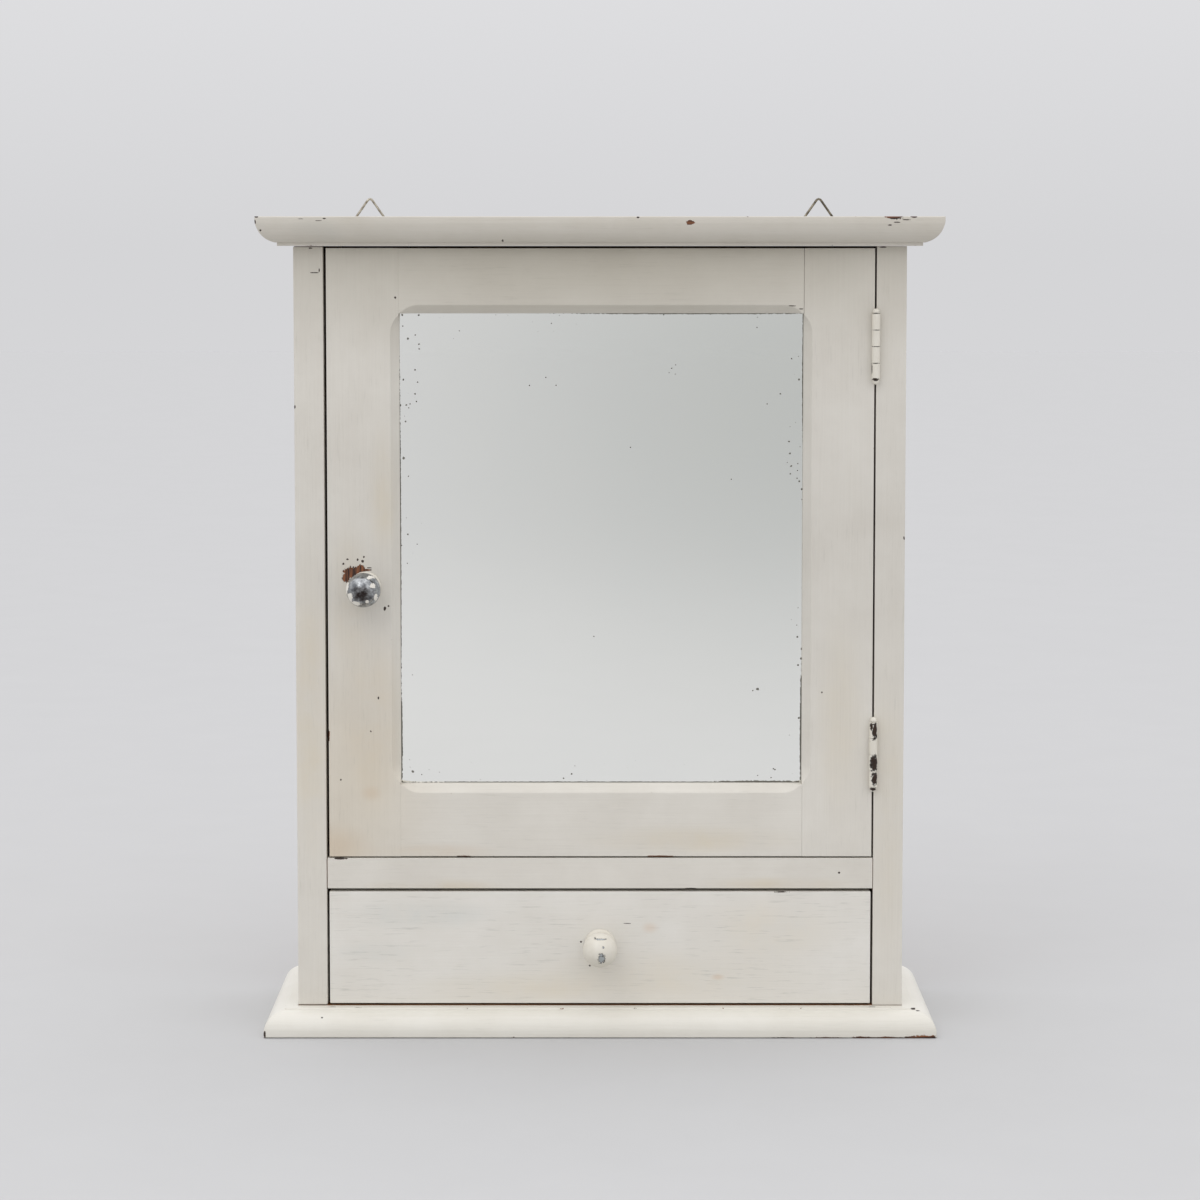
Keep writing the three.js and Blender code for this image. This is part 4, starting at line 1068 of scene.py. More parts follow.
@dataclass
class Moulding:
    """A strip of moulding round the front and the two sides of a board, mitred at the corners.

    The section is drawn from the board outwards: a fillet, a quirk, a full curve and an upright edge.
    """

    node: str
    slot: str = "cream_paint"
    fillet: float = 9.3
    fillet_height: float = 2.2
    quirk: float = 1.2
    upright: float = 3.6
    fullness: float = 0.63
    flipped: bool = False  # the base's section stands on its upright edge
    wear: tuple[Patch, ...] = ()
    stains: tuple[Stain, ...] = ()
    cracks: tuple[Patch, ...] = ()
    edge_wear: float = 0.3
    # the cornice's cream by default, darkened as painted shade; the base gives its own colours
    light: str = SHADED_CORNICE_CREAM[0]
    dark: str = SHADED_CORNICE_CREAM[1]
    round_off: float = 0.75
    curve_steps: int = 14
    gloss: tuple[float, float] = (0.5, 0.72)
    end_gap: float = 0.0  # how far the right mitre has opened

    def section(self, depth: float, height: float) -> list[tuple[float, float]]:
        """Outline points of distance out from the board and height, in millimetres.

        Args:
            depth: How far the moulding projects.
            height: Its height.

        Returns:
            The points, in order round the section.
        """
        if self.flipped:
            start, end = (depth, self.upright), (self.fillet, height - self.quirk)
            corner = (start[0], end[1])
            lead, tail = [(0.0, 0.0), (depth, 0.0)], [(self.fillet, height), (0.0, height)]
        else:
            start = (self.fillet + self.quirk, self.fillet_height)
            end = (depth, height - self.upright)
            corner = (end[0], start[1])
            lead = [(0.0, 0.0), (self.fillet, 0.0), (self.fillet, self.fillet_height)]
            tail = [(depth, height), (0.0, height)]
        middle = [(a + b) / 2 for a, b in zip(start, end)]
        pull = [m + (c - m) * self.fullness for m, c in zip(middle, corner)]
        curve = []
        for i in range(self.curve_steps + 1):
            t = i / self.curve_steps
            curve.append(tuple((1 - t) ** 2 * s + 2 * t * (1 - t) * p + t * t * e
                               for s, p, e in zip(start, pull, end)))
        return lead + curve + tail

    def length_of(self, side: str) -> Shape:
        """Extrudes the section along one side of the board and cuts its mitres.

        Args:
            side: "front", "left" or "right".

        Returns:
            The strip's shape.
        """
        low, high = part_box(f"{self.node}_{side}")
        across = {"front": Vector((0, -1, 0)), "left": Vector((-1, 0, 0)), "right": Vector((1, 0, 0))}[side]
        back = {"front": Vector((low.x, high.y, low.z)), "left": Vector((high.x, low.y, low.z)),
                "right": low}[side]
        run = Vector((1, 0, 0)) if side == "front" else Vector((0, 1, 0))
        span = high - low
        depth = span.y if side == "front" else span.x
        shape = bmesh.new()
        points = [shape.verts.new(back + across * out * MM + Vector((0, 0, up * MM)))
                  for out, up in self.section(depth / MM, span.z / MM)]
        face = shape.faces.new(points)
        made = bmesh.ops.extrude_face_region(shape, geom=[face])
        moved = [v for v in made["geom"] if isinstance(v, Vert)]
        bmesh.ops.translate(shape, verts=moved, vec=run * span.dot(run))
        front_low, front_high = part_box(f"{self.node}_front")
        for end, x in ((-1, front_low.x), (1, front_high.x)):
            if side == ("left", "right")[end < 0]:
                continue
            inward = Vector((-end, 1, 0)).normalized()
            gap = self.end_gap * MM * inward if end > 0 and side == "front" else Vector()
            normal = Vector((end, 1, 0)) if side == "front" else Vector((-end, -1, 0))
            rim = cut(shape, Vector((x, front_low.y, 0)) + gap, normal.normalized(), True)
            bmesh.ops.contextual_create(shape, geom=rim)
        bmesh.ops.recalc_face_normals(shape, faces=shape.faces)
        return shape

    def build(self) -> None:
        """Makes the three strips."""
        for side, grain in (("front", Grain.ACROSS), ("left", Grain.DEEP), ("right", Grain.DEEP)):
            node = f"{self.node}_{side}"
            shape = self.length_of(side)
            lay_bare(shape, looks_back)
            ease(shape, self.round_off, 3, along(grain.value))
            crease(shape)
            paint = CreamPaint(f"{node}_paint", grain, self.wear, self.stains, self.cracks,
                               self.edge_wear, self.light, self.dark, gloss=self.gloss)
            new_piece(f"{node}_run", shape, "carcass", paint.material(), node)


@dataclass
class Case:
    """The case: side boards, top and bottom boards, rail, back, and what stands inside."""

    rounding: float = 0.7
    side_rounding: float = 1.0
    brush_reach: float = 13.0  # how far the paint goes round into the openings

    def build(self) -> None:
        """Makes the boards, from the outside in."""
        self._sides()
        self._boards()
        self._mouldings()
        self._inside()

    def _sides(self) -> None:
        """The two side boards, bare on the inside."""
        stains = (
            # painted shade under the cornice
            CORNICE_SHADE,
            # painted shade over the middle of the front
            MIDDLE_SHADE,
            Stain((-190, FRONT, -60), (40, 60, 260), "e8d6ae", 0.4),
            Stain((190, FRONT, -120), (40, 60, 240), "e6d9ba", 0.35),
        )
        paint = CreamPaint("side_board_paint", Grain.UP, (), stains, side_cracks(), 0.1).material()
        for side, inward in (("left", 1), ("right", -1)):
            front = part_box(f"side_board_{side}")[0].y + self.brush_reach * MM

            def inner(face: Face, way: int = inward, limit: float = front) -> bool:
                """Whether the brush missed a face: it looks to the wall, up, down or into the case.

                Args:
                    face: The face.
                    way: The side of X that is the case's inside.
                    limit: Where the paint ends, in metres.

                Returns:
                    Whether it did.
                """
                hidden = looks_back(face) or abs(face.normal.z) > FACING
                looks_in = face.normal.x * way > FACING
                return hidden or (looks_in and face.calc_center_median().y > limit)

            def brush_line(shape: Shape, limit: float = front) -> None:
                """Divides the faces where the paint ends."""
                cut(shape, (0, limit, 0), (0, 1, 0))

            eased(f"side_board_{side}", "carcass", paint, self.side_rounding, inner,
                  brush_line)

    def _boards(self) -> None:
        """The top and bottom boards and the rail between the door and the drawer."""
        # the top board takes the cornice's cream, with its painted shade
        top = CreamPaint("top_board_paint", Grain.ACROSS, cornice_wear(), edge_wear=0.1,
                         light=SHADED_CORNICE_CREAM[0], dark=SHADED_CORNICE_CREAM[1]).material()
        base = CreamPaint("bottom_board_paint", Grain.ACROSS, edge_wear=0.1).material()
        eased("top_board", "carcass", top, 0.3,
              lambda face: looks_back(face) or face.normal.z < -FACING)
        eased("bottom_board", "carcass", base, 0.3,
              lambda face: looks_back(face) or abs(face.normal.z) > FACING)
        stains = (
            Stain((-110, FRONT, -172), (110, 20, 16), "e8d2a4", 0.5),
            Stain((120, FRONT, -170), (130, 20, 14), "ead7ae", 0.4),
        )
        cracks = spots(FRONT, 4, (-172, -152.6, 9, 1.2), (158, -162.0, 1.6, 1.2), (60, -172.5, 8, 0.6))
        rail = CreamPaint("rail_paint", Grain.ACROSS, (), stains, cracks).material()
        eased("mid_rail", "carcass", rail, self.rounding,
              lambda face: looks_back(face) or abs(face.normal.x) > FACING)

    def _mouldings(self) -> None:
        """The cornice and the base."""
        Moulding("cornice", wear=cornice_wear(), cracks=cornice_cracks(), edge_wear=0.2,
                 stains=(Stain((-182, -145, 262), (50, 30, 24), "ccd8dc", 0.5),)).build()
        Moulding("base_moulding", fillet=8.2, quirk=0.9, upright=4.3, fullness=0.75, flipped=True,
                 wear=base_wear(), cracks=base_cracks(), edge_wear=0.22, gloss=(0.3, 0.42), end_gap=0.35,
                 light="e2dfd6", dark="d9d5ca").build()

    def _inside(self) -> None:
        """The back, the divider, the shelf and the small pieces, all without paint."""
        across = BareWood("bare_pine_across", Grain.ACROSS).material()
        deep = BareWood("bare_pine_deep", Grain.DEEP).material()
        upright = BareWood("bare_pine_upright", Grain.UP).material()
        sheet = BareWood("birch_plywood", Grain.UP, "b08a5c", "96703f", 6.5).material()
        eased("back_panel", "carcass", sheet, 0.3)
        for node in ("divider_board", "shelf"):
            eased(node, "carcass", across, 0.5)
        for node in ("shelf_cleat_left", "shelf_cleat_right"):
            eased(node, "carcass", deep, 0.5)
        for node in ("drawer_stop_left", "drawer_stop_right", "door_stop_strip"):
            eased(node, "carcass", upright, 0.5)
        plastic = MouldedPlastic("brown_polypropylene").material()
        eased("catch_body", "carcass", plastic, 0.4)


# --------------------------------------------------------------------------------------------
# Knobs


@dataclass
class Knob:
    """A ball knob on a waisted neck, with the round plate behind it and the screw that holds it."""

    node: str
    body: str
    finish: Material
    plate_finish: Material
    screw_finish: Material
    slot: str
    neck: float = 5.2
    waist: float = 4.95  # the neck's radius at its thinnest
    foot: float = 6.7
    foot_height: float = 0.6
    flare: float = 1.8  # height at which the neck widens to the foot
    bore: float = 2.2
    bore_depth: float = 11.0
    ball_steps: int = 26
    plate_drop: float = 0.28  # share of the plate's radius that its rounded rim takes
    plate_step: float = 0.66  # share of the plate's radius that its raised middle takes
    plate_steps: int = 8
    crease_angle: float = 50.0

    def build(self) -> None:
        """Makes the knob, its plate and its screw."""
        self._ball()
        self._plate()
        eased(f"{self.node}_screw", self.body, self.screw_finish, 0)

    def _ball(self) -> None:
        """Turns the ball and its neck, with the blind bore for the screw."""
        axis, radius, reach = round_axis(self.node)
        middle = reach - radius
        sweep = math.pi - math.asin(self.neck / radius)
        outline = []
        for i in range(self.ball_steps + 1):
            angle = sweep * i / self.ball_steps
            outline.append((radius * math.sin(angle), middle + radius * math.cos(angle)))
        outline[0] = (0.0, middle + radius)
        ball_end = outline[-1][1]
        outline += [(self.waist, ball_end * 0.6), (self.neck, self.flare),
                    (self.foot - 0.4, self.foot_height), (self.foot, self.foot_height / 2),
                    (self.foot - 0.2, 0.0), (self.bore, 0.0),
                    (self.bore, self.bore_depth), (0.0, self.bore_depth)]
        shape = turned(outline, axis)
        crease(shape, self.crease_angle)
        new_piece(f"{self.node}_ball", shape, self.body, self.finish, self.node)

    def _plate(self) -> None:
        """Turns the round plate with its softened step."""
        node = f"{self.node}_rose"
        axis, radius, thick = round_axis(node)
        dome = []
        for i in range(1, self.plate_steps + 1):
            angle = math.pi / 2 * i / self.plate_steps
            dome.append((radius - self.plate_drop * radius * (1 - math.cos(angle)),
                         thick * math.sin(angle)))
        outline = [(self.bore, 0.0), (radius, 0.0), *dome, (radius * self.plate_step, thick),
                   (self.bore, thick), (self.bore, 0.0)]
        shape = turned(outline, axis)
        crease(shape, self.crease_angle)
        new_piece(f"{node}_plate", shape, self.body, self.plate_finish, node)


# --------------------------------------------------------------------------------------------
# Hinges


@dataclass
class Hinge:
    """A butt hinge of loose-pin pattern, painted over, with its four countersunk screws."""

    place: str
    chips: tuple[Patch, ...]
    flaking: float
    screw_finish: Material
    hole_spacing: float = 24.0
    hole_set_back: float = 9.45  # from the pin's axis to the holes
    head_sunk: float = 0.35  # from the pin's axis to the heads
    head_radius: float = 2.35
    slot_width: float = 0.55
    slot_depth: float = 0.4
    cone_height: float = 1.1
    shank_share: float = 0.62  # the shank's radius as a share of the head's
    tip_share: float = 0.155  # the tip's radius as a share of the head's
    shank: float = 11.0
    crease_angle: float = 40.0

    def build(self) -> None:
        """Makes both leaves, the pin and the screws."""
        paint = PaintedSteel(f"hinge_{self.place}_paint", self.chips, self.flaking).material()
        for leaf, body in (("door_leaf", "door"), ("frame_leaf", "carcass")):
            eased(f"hinge_{self.place}_{leaf}", body, paint, 0.25)
        eased(f"hinge_{self.place}_pin", "door", paint, 0)
        for leaf, body, way in (("door_leaf", "door", -1), ("frame_leaf", "carcass", 1)):
            for share in (-0.5, 0.5):
                self._screw(leaf, body, way, share)

    def _screw(self, leaf: str, body: str, way: int, share: float) -> None:
        """One countersunk screw with a slotted head.

        Args:
            leaf: The leaf that it holds.
            body: The body that it rides on.
            way: 1 when its point goes to +X and -1 when it goes to -X.
            share: The screw's place as a share of the holes' spacing.
        """
        axis = sum(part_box(f"hinge_{self.place}_pin"), Vector()) / 2
        middle = axis + mm(way * self.head_sunk, self.hole_set_back, share * self.hole_spacing)
        shape = bmesh.new()
        bmesh.ops.create_circle(shape, cap_ends=True, segments=20, radius=self.head_radius * MM)
        for side in (-1, 1):
            cut(shape, (side * self.slot_width / 2 * MM, 0, 0), (1, 0, 0))
        for share_left, depth in ((self.shank_share, self.cone_height),
                                  (self.tip_share / self.shank_share, self.shank)):
            rim = [e for e in shape.edges if e.is_boundary]
            wall = bmesh.ops.extrude_edge_only(shape, edges=rim)
            for vert in (v for v in wall["geom"] if isinstance(v, Vert)):
                vert.co = Vector((vert.co.x * share_left, vert.co.y * share_left, -depth * MM))
        bmesh.ops.contextual_create(shape, geom=[e for e in shape.edges if e.is_boundary])
        groove = [f for f in shape.faces if abs(f.calc_center_median().x) < self.slot_width / 2 * MM
                  and f.calc_center_median().z > -WELD]
        sunk = bmesh.ops.extrude_face_region(shape, geom=groove)
        bmesh.ops.translate(shape, vec=(0, 0, -self.slot_depth * MM),
                            verts=[v for v in sunk["geom"] if isinstance(v, Vert)])
        bmesh.ops.delete(shape, geom=groove, context="FACES_ONLY")
        bmesh.ops.recalc_face_normals(shape, faces=shape.faces)
        turn = Matrix.Rotation(-way * math.pi / 2, 4, "Y")
        bmesh.ops.transform(shape, matrix=Matrix.Translation(middle) @ turn, verts=shape.verts)
        crease(shape, self.crease_angle)
        end = "upper" if share > 0 else "lower"
        new_piece(f"hinge_{self.place}_{leaf}_screw_{end}", shape, body,
                  self.screw_finish)


# --------------------------------------------------------------------------------------------
# Door


def door_wear() -> tuple[Patch, ...]:
    """The large chip beside the door's knob, where fingers reach, and one on its free edge."""
    chip = spots(FRONT, 8, (-162.0, 36.8, 13.0, 7.6), (-166.8, 34.2, 5.4, 6.4), (-156.8, 39.4, 5.4, 6.0))
    return chip + spots(FRONT, 4, (-152.6, 39.0, 5.4, 1.3), (-178.6, -70.0, 1.2, 7.0))


def door_cracks() -> tuple[Patch, ...]:
    """Specks round the large chip, and a few nicks elsewhere on the stiles.

    Returns:
        The nicks.
    """
    return spots(FRONT, 4,
                 (-165.7, 46.0, 1.7, 1.4), (-168.4, 43.0, 1.3, 1.3), (-159.1, 45.8, 1.5, 1.6),
                 (-155.8, 44.6, 1.9, 1.9), (-154.9, 47.6, 1.2, 1.6), (-151.4, 40.4, 3.4, 0.8),
                 (-141.3, 13.6, 1.7, 3.0), (-138.9, 15.2, 1.0, 1.2), (-133.6, 217.4, 1.4, 1.5),
                 (-171.0, -100.0, 1.1, 1.4), (-145.9, -45.8, 1.1, 1.9), (-151.0, -67.9, 1.0, 1.1),
                 (146.0, -42.0, 1.2, 1.4))


def foxing(y: float) -> tuple[Patch, ...]:
    """The mirror's black specks and the ragged black edges of its silver.

    Args:
        y: Where the glass's face is, in millimetres.

    Returns:
        The specks.
    """
    share = 0.8  # a speck's noise makes it look larger than its own width
    specks = (
        (-129.6, 206, 1.5), (-118.7, 205.8, 1.4), (-129.2, 198.6, 1.2), (-121, 192.8, 1.4),
        (-126, 190.4, 2.0), (-118.7, 186.8, 1.4), (-118.5, 183.7, 1.2), (-121.4, 169.9, 1.3),
        (-129, 163.5, 1.5), (-119.6, 161.8, 1.3), (-121.4, 154.2, 1.5), (-127, 146.9, 1.4),
        (-124.7, 147.6, 1.1), (-125.6, 145, 1.1), (-120.5, 149.2, 1.2), (-127.8, 136, 1.5),
        (-129, 112, 1.8), (-126, 100, 1.3), (124.2, 122.9, 1.9), (124.8, 115, 1.4),
        (125.7, 106.8, 1.9), (130, 108.3, 1.2), (125.1, 101.6, 1.3), (130.6, 163.6, 1.6),
        (118.4, 154.3, 1.4), (125.7, 177.3, 1.1), (109.7, 147.6, 1.2), (102.9, 197.7, 1.1),
        (86.4, 98, 1.1), (-124, -96, 2.0), (-118, -98, 1.4), (104, -41, 2.4), (101, -42, 1.2),
        (47, 171, 1.2), (49.6, 173.2, 0.9), (45.4, 168, 0.9), (49.4, 167.2, 0.9),
        (-46.3, 159.8, 1.2), (-35.5, 165, 0.9), (-28.8, 159.8, 0.9), (20, 119, 1.2), (-4, -6, 1.2),
    )
    edges = (
        (105, -102.9, 64, 1.7), (0, -103.1, 270, 0.9), (132.9, -70, 1.4, 80), (-131.3, -75, 1.5, 70),
        (-131.4, 60, 1.0, 210), (60, 206.9, 150, 1.0), (133.1, 170, 0.9, 90),
    )
    round_marks = ((x, z, share * wide, share * wide) for x, z, wide in specks)
    return spots(y, 4, *round_marks, *edges)


@dataclass
class Door:
    """The door: four framed pieces, the mirror and what holds it, the knob and the keeper."""

    rounding: float = 0.55
    edge_wear: float = 0.14
    joint_fill: float = 0.98 * JOINT_GAP  # how far paint has filled a joint
    shoulder_flat: float = 0.05  # how near to a shoulder's plane its corners lie

    def build(self, knob: Knob, zinc: Material) -> None:
        """Makes the door's pieces and its knob.

        Args:
            knob: The door's knob.
            zinc: The finish of the keeper.
        """
        self._wood()
        self._mirror()
        knob.build()
        for node in ("catch_keeper", "catch_keeper_screw"):
            eased(node, "door", zinc, 0)

    def _wood(self) -> None:
        """The stiles and rails. Paint has filled the joints at three of the corners."""
        stains = (
            # painted shade under the cornice
            CORNICE_SHADE,
            # painted shade over the middle of the front
            MIDDLE_SHADE,
            Stain((-166, FRONT, -100), (160, 30, 240), "ecdec4", 0.32, True),
            Stain((-178, FRONT, -146), (70, 30, 44), "e6c9a2", 0.34, True),
            Stain((-150, FRONT, -60), (50, 30, 150), "ead2a2", 0.35),
            Stain((-165, FRONT, 20), (36, 30, 120), "e8d3a6", 0.35),
            Stain((-151, FRONT, -109), (18, 30, 14), "ecc9a0", 0.2, True),
            Stain((-110, FRONT, -148), (120, 30, 14), "e8c8a0", 0.4),
            Stain((-142, FRONT, 90), (26, 30, 110), "ead8b0", 0.35),
            Stain((60, FRONT, -140), (180, 30, 26), "ead9b4", 0.35),
            Stain((158, FRONT, -60), (40, 30, 180), "ecdfc2", 0.3),
        )
        upright = CreamPaint("door_stile_paint", Grain.UP, door_wear(), stains, door_cracks(),
                             self.edge_wear)
        chips = spots(FRONT, 4, (40, -151, 16, 0.9), (-90, -151, 9, 0.8))
        cracks = spots(FRONT, 4, (125, 212.0, 5, 0.7), (131, 210.0, 3, 0.7), (118, 209.6, 4, 0.6))
        level = CreamPaint("door_rail_paint", Grain.ACROSS, chips, stains, cracks, self.edge_wear)
        stile_finish, rail_finish = upright.material(), level.material()
        for side in ("left", "right"):
            eased(f"door_stile_{side}", "door", stile_finish, self.rounding, looks_back)
        left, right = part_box("door_stile_left")[1].x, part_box("door_stile_right")[0].x
        for place, filled in (("top", (left,)), ("bottom", (left, right))):
            def close_joints(shape: Shape, stiles: tuple[float, ...] = filled) -> None:
                """Moves the rail's shoulders almost up to the stiles, as paint in the joint does.

                Args:
                    shape: The rail.
                    stiles: The X of the stiles that paint has joined it to, in metres.
                """
                for vert in shape.verts:
                    for gap in [vert.co.x - stile for stile in stiles]:
                        if abs(abs(gap) - JOINT_GAP * MM) < self.shoulder_flat * MM:
                            vert.co.x -= math.copysign(self.joint_fill * MM, gap)

            eased(f"door_rail_{place}", "door", rail_finish, self.rounding, looks_back,
                  close_joints, along(Grain.ACROSS.value, 0.5))

    def _mirror(self) -> None:
        """The silvered glass, and the board and beads behind it."""
        low = Vector((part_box("door_stile_left")[1].x, 0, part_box("door_rail_bottom")[1].z))
        high = Vector((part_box("door_stile_right")[0].x, 0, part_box("door_rail_top")[0].z))
        middle, half = (low + high) / 2 / MM, (high - low) / 2 / MM
        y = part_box("mirror_plate")[0].y / MM
        any_depth = 1e3  # the specks thicken towards the glass's four edges only
        # a painted darker reflection, centred up and to the right of the glass
        dark_reflection = Patch((150, y, 150), (780, 400, 580))
        mirror = SilveredGlass("silvered_glass", dark_reflection, foxing(y), (middle.x, y, middle.z),
                               (half.x, any_depth, half.z))
        dress("mirror_plate", mirror.material())
        board = BareWood("mirror_backboard_pine", Grain.UP, "9b7148", "7a4f2e", 5.0).material()
        bead = BareWood("mirror_bead_pine", Grain.ACROSS, "b08358", "8d6039").material()
        upright = BareWood("mirror_bead_pine_upright", Grain.UP, "b08358", "8d6039").material()
        eased("mirror_backboard", "door", board, 0.2)
        for node in sorted(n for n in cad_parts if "bead" in n):
            eased(node, "door", upright if node.endswith(("left", "right")) else bead, 0.4)


# --------------------------------------------------------------------------------------------
# Drawer


@dataclass
class Drawer:
    """The drawer: a painted front on a plain wooden box, with its knob."""

    rounding: float = 0.6

    def build(self, knob: Knob) -> None:
        """Makes the front, the box and the knob.

        Args:
            knob: The drawer's knob.
        """
        self._front()
        deep = BareWood("drawer_side_pine", Grain.DEEP, "a47648", "855a34").material()
        across = BareWood("drawer_back_pine", Grain.ACROSS, "a47648", "855a34").material()
        sheet = BareWood("drawer_bottom_plywood", Grain.ACROSS, "ab865a", "937042", 6.5).material()
        for side in ("left", "right"):
            eased(f"drawer_side_{side}", "drawer", deep, 0.5)
        eased("drawer_back", "drawer", across, 0.5)
        eased("drawer_bottom", "drawer", sheet, 0.2)
        knob.build()

    def _front(self) -> None:
        """The drawer front, a little blue at the left where the paint has run thin."""
        cracks = spots(FRONT, 4, (-12.6, -208.4, 1.2, 1.2), (-6.8, -224.4, 1.3, 1.2),
                       (18.0, -196.0, 5.0, 0.5), (120, -175.0, 9, 0.7))
        stains = (
            Stain((-120, FRONT, -190), (120, 30, 26), "cbd9df", 0.5),
            Stain((-150, FRONT, -215), (60, 30, 20), "cfdce1", 0.4),
            Stain((40, FRONT, -232), (260, 30, 50), "ecdcb8", 0.3),
            Stain((110, FRONT, -200), (130, 30, 60), "eedebc", 0.3),
            Stain((33, FRONT, -199), (14, 30, 10), "ecc6a0", 0.25, True),
            Stain((78, FRONT, -232), (12, 30, 6), "ecc6a0", 0.3, True),
            Stain((-60, FRONT, -240), (160, 30, 30), "eee0c0", 0.3),
        )
        paint = CreamPaint("drawer_front_paint", Grain.ACROSS, stains=stains, cracks=cracks,
                           light="e3e0d9", dark="dad6cd", thin=0.26).material()
        eased("drawer_front", "drawer", paint, self.rounding, looks_back)


# --------------------------------------------------------------------------------------------
# Hangers


@dataclass
class Hanger:
    """A steel strap behind the cornice, with a triangle of wire in its eye."""

    side: str

    def build(self, steel: Material, wire: Material) -> None:
        """Makes the strap, its screw and the wire.

        Args:
            steel: The strap's finish.
            wire: The wire's finish.
        """
        eased(f"hanger_strap_{self.side}", "carcass", steel, 0.15)
        eased(f"hanger_screw_{self.side}", "carcass", steel, 0)
        eased(f"hanger_ring_{self.side}", f"ring_{self.side}", wire, 0)


# --------------------------------------------------------------------------------------------
# Studio


@dataclass
class Studio:
    """The pale floor, the soft lights and the camera."""

    floor_half: float = 14.0
    backdrop: str = "d5d5d7"
    ceiling: float = 2.3  # how much brighter the surround is overhead
    lamp_size: float = 1.4  # metres across each soft light
    key_place: Point = (-1.1, -2.0, 2.0)
    key_power: float = 7.0
    fill_place: Point = (1.8, -2.4, 0.9)
    fill_power: float = 1.5
    floor_drop: float = 0.4  # millimetres from the base down to the floor
    distance: float = 2.2  # metres from the camera to the front of the side boards
    eye: float = 0.2523  # the camera's height, level with the cornice
    pitch: float = 4.62  # degrees that it looks down
    view_width: float = 0.784  # width seen at the front of the side boards
    sensor: float = 36.0
    shift: float = -0.07

    def build(self) -> None:
        """Makes the floor, the lights and the camera."""
        self._floor()
        self._world()
        self._lights()
        self._camera()

    def _floor(self) -> None:
        """A flat sheet of paper just under the base."""
        shape = bmesh.new()
        bmesh.ops.create_grid(shape, x_segments=1, y_segments=1, size=self.floor_half)
        bmesh.ops.translate(shape, verts=shape.verts, vec=(0, 0, CAD_BOX[0].z - self.floor_drop * MM))
        mesh = bpy.data.meshes.new("floor")
        shape.to_mesh(mesh)
        shape.free()
        mesh.materials.append(PaperFloor().material())
        floor = bpy.data.objects.new("floor", mesh)
        bpy.context.scene.collection.objects.link(floor)

    def _world(self) -> None:
        """A pale surround that brightens overhead, as under a large white ceiling."""
        world = bpy.data.worlds.new("pale_room")
        world.use_nodes = True
        tree = world.node_tree
        way = tree.nodes.new("ShaderNodeTexCoord")
        parts = tree.nodes.new("ShaderNodeSeparateXYZ")
        ramp = tree.nodes.new("ShaderNodeValToRGB")
        tree.links.new(way.outputs["Generated"], parts.inputs[0])
        tree.links.new(parts.outputs["Z"], ramp.inputs[0])
        tree.links.new(ramp.outputs[0], tree.nodes["Background"].inputs["Color"])
        first, last = ramp.color_ramp.elements
        first.position, first.color = 0.0, linear(self.backdrop)
        last.position, last.color = 1.0, tuple(self.ceiling * c for c in linear(self.backdrop))
        bpy.context.scene.world = world

    def _lights(self) -> None:
        """A large soft light high at the left and a weaker one from the right."""
        self._light("key", self.key_place, self.key_power)
        self._light("fill", self.fill_place, self.fill_power)

    def _light(self, name: str, place: Point, power: float) -> None:
        """Adds a square area light that looks at the cabinet.

        Args:
            name: The light's name.
            place: Where it stands, in metres.
            power: Its power, in watts.
        """
        data = bpy.data.lights.new(name, "AREA")
        data.shape = "SQUARE"
        data.size = self.lamp_size
        data.energy = power
        lamp = bpy.data.objects.new(name, data)
        lamp.location = place
        lamp.rotation_euler = (-Vector(place)).to_track_quat("-Z", "Y").to_euler()
        bpy.context.scene.collection.objects.link(lamp)

    def _camera(self) -> None:
        """The camera, square on to the front."""
        data = bpy.data.cameras.new("camera")
        data.sensor_width = self.sensor
        data.lens = self.sensor * self.distance / self.view_width
        data.shift_y = self.shift
        camera = bpy.data.objects.new("camera", data)
        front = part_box("side_board_left")[0].y
        camera.location = (0, front - self.distance, self.eye)
        camera.rotation_euler = (math.radians(90 - self.pitch), 0, 0)
        bpy.context.scene.collection.objects.link(camera)
        bpy.context.scene.camera = camera
        bpy.context.scene.view_settings.view_transform = "Standard"


# --------------------------------------------------------------------------------------------
# Assembly


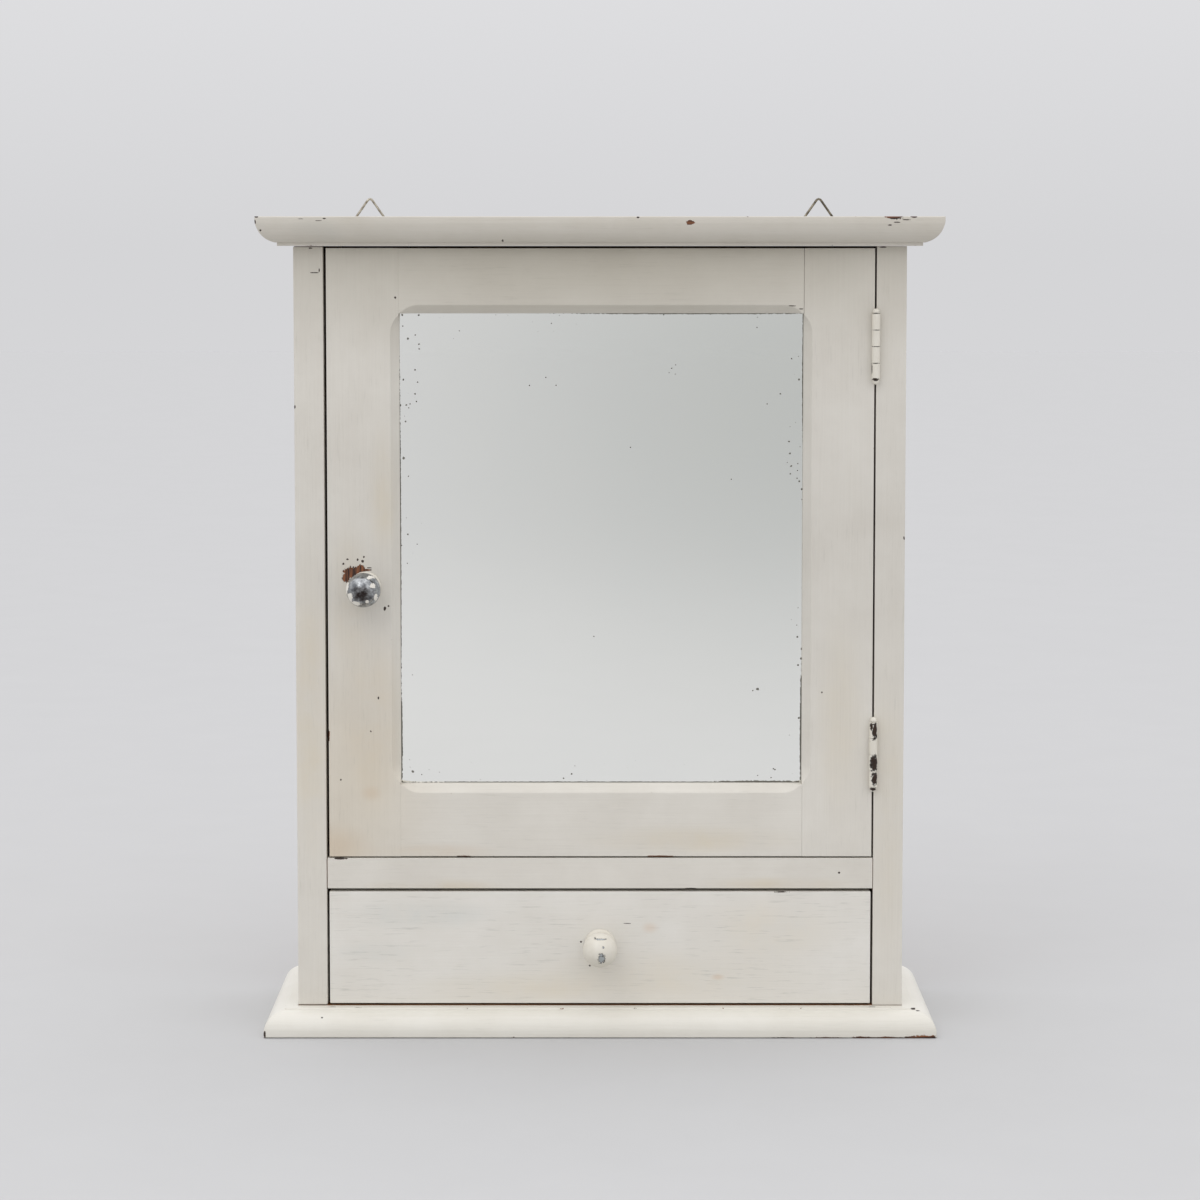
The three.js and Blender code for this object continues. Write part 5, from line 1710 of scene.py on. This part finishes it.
@dataclass
class Cabinet:
    """The whole cabinet, sub-assembly by sub-assembly."""

    case: Case = field(default_factory=Case)
    door: Door = field(default_factory=Door)
    drawer: Drawer = field(default_factory=Drawer)

    def build(self) -> None:
        """Builds the case, the door, the drawer, the hinges and the hangers."""
        zinc = Metal("zinc_plated_steel", "b9b9b4", "85857f", 3.0, (0.3, 0.5), 0.05).material()
        steel = Metal("blued_steel", "6b655c", "3f3933", 2.5, (0.38, 0.6), 0.08).material()
        wires = {"left": Metal("galvanised_wire", "c4bfb2", "8a8174", 2.2, (0.35, 0.6), 0.06).material(),
                 "right": Metal("tarnished_wire", "98907f", "3b342d", 2.2, (0.35, 0.6), 0.06).material()}
        self.case.build()
        self.door.build(self._door_knob(zinc), zinc)
        self.drawer.build(self._drawer_knob(zinc))
        top, bottom = self._hinge_chips()
        screws = PaintedSteel("hinge_screw_paint", (), 0.16, "d6d1c5", "77736c", "5d5954").material()
        Hinge("top", top, 0.02, screws).build()
        Hinge("bottom", bottom, 0.12, screws).build()
        for side, wire in wires.items():
            Hanger(side).build(steel, wire)

    @staticmethod
    def _door_knob(zinc: Material) -> Knob:
        """The door's knob: old chrome with dabs of paint and brown tarnish, partly painted highlights and a
        painted dark reflection, on a painted plate.

        Args:
            zinc: The finish of its screw.

        Returns:
            The knob.
        """
        axis, _, reach = round_axis("door_knob")
        x, z, front = axis.x / MM, axis.z / MM, axis.y / MM - reach
        # the dabs on the ball's face sit where its highlights fall, so they are partly painted highlights;
        # the last covers the neck
        dabs_and_highlights = (
            Patch((x - 10.6, front + 9, z + 3.0), (3.4, 9, 9.0)),
            Patch((x - 8.2, front + 5, z - 3.6), (3.4, 9, 7.6)),
            Patch((x + 6.8, front + 3, z + 3.8), (4.2, 8, 3.6)),
            Patch((x - 4.5, front + 4, z - 8.2), (6.6, 9, 3.4)),
            Patch((x + 8.6, front + 6, z - 4.2), (2.4, 8, 4.6)),
            Patch((x + 6.0, front + 6, z + 9.0), (7.0, 9, 2.2)),
            Patch((x + 3.2, front + 4, z - 6.4), (2.6, 7, 2.0)),
            Patch((x, front + 20, z), (14.5, 11, 14.5)),
        )
        # tarnish low on the ball's front, and partly a painted dark reflection
        tarnish_and_dark_reflection = Patch((x - 0.4, front, z - 2.0), (17.0, 14, 12.5))
        chrome = WornChrome("worn_chrome_plate", dabs_and_highlights, tarnish_and_dark_reflection).material()
        chips = spots(FRONT - 1.5, 5, (x - 8, z + 6, 5, 4))
        plate = PaintedSteel("door_rose_paint", chips, 0.04).material()
        return Knob("door_knob", "door", chrome, plate, zinc, "knob_chrome")

    @staticmethod
    def _drawer_knob(zinc: Material) -> Knob:
        """The drawer's knob: painted all over, with one chip at its front.

        Args:
            zinc: The finish of its screw.

        Returns:
            The knob.
        """
        axis, _, reach = round_axis("drawer_knob")
        z, front = axis.z / MM, axis.y / MM - reach
        chips = (
            Patch((1.0, front + 1, z - 3.4), (4.4, 9, 7.0)),
            Patch((2.2, front + 2, z + 3.9), (1.5, 7, 1.5)),
            Patch((0.8, front + 4.4, z + 8.6), (8.0, 5, 0.9)),
            Patch((-3.4, front + 4.4, z + 9.4), (1.4, 5, 1.2)),
        )
        paint = PaintedSteel("drawer_knob_paint", chips, 0.0, "e4e0d6", "c4c8c9", "a6abac", 1.1).material()
        rose_chips = spots(FRONT - 1, 5, (-9.5, z + 1, 1.6, 1.6))
        plate = PaintedSteel("drawer_rose_paint", rose_chips).material()
        return Knob("drawer_knob", "drawer", paint, plate, zinc, "painted_steel")

    @staticmethod
    def _hinge_chips() -> tuple[tuple[Patch, ...], tuple[Patch, ...]]:
        """Chips of the upper and of the lower hinge, the lower one far more worn.

        Returns:
            The upper hinge's chips and the lower one's.
        """
        low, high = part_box("hinge_top_pin")
        x, top = (low.x + high.x) / 2 / MM, high.z / MM
        knuckle = 10.8
        joints = tuple((x, top - 3.2 - knuckle * i, 6.6, 0.55) for i in range(4))
        upper = (*spots(FRONT - 4, 6, *joints), *spots(FRONT - 6, 5, (x - 0.6, top - 46.2, 6, 2.0)),
                 *spots(FRONT - 5, 6, (x - 2.8, top - 39, 0.9, 9)))
        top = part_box("hinge_bottom_pin")[1].z / MM
        lower = spots(FRONT - 6, 6,
                      (x + 0.8, top - 9, 3.4, 12), (x - 1.4, top - 6, 2.2, 5),
                      (x + 0.4, top - 30.2, 6, 11.5), (x + 0.9, top - 40.5, 4.4, 8.5),
                      (x, top - 47.6, 5, 2.6))
        return upper, lower


def main() -> None:
    """Builds the studio and the cabinet."""
    logging.basicConfig(level=logging.INFO, format="%(name)s: %(message)s")
    Studio().build()
    Cabinet().build()


if __name__ == "__main__":
    main()
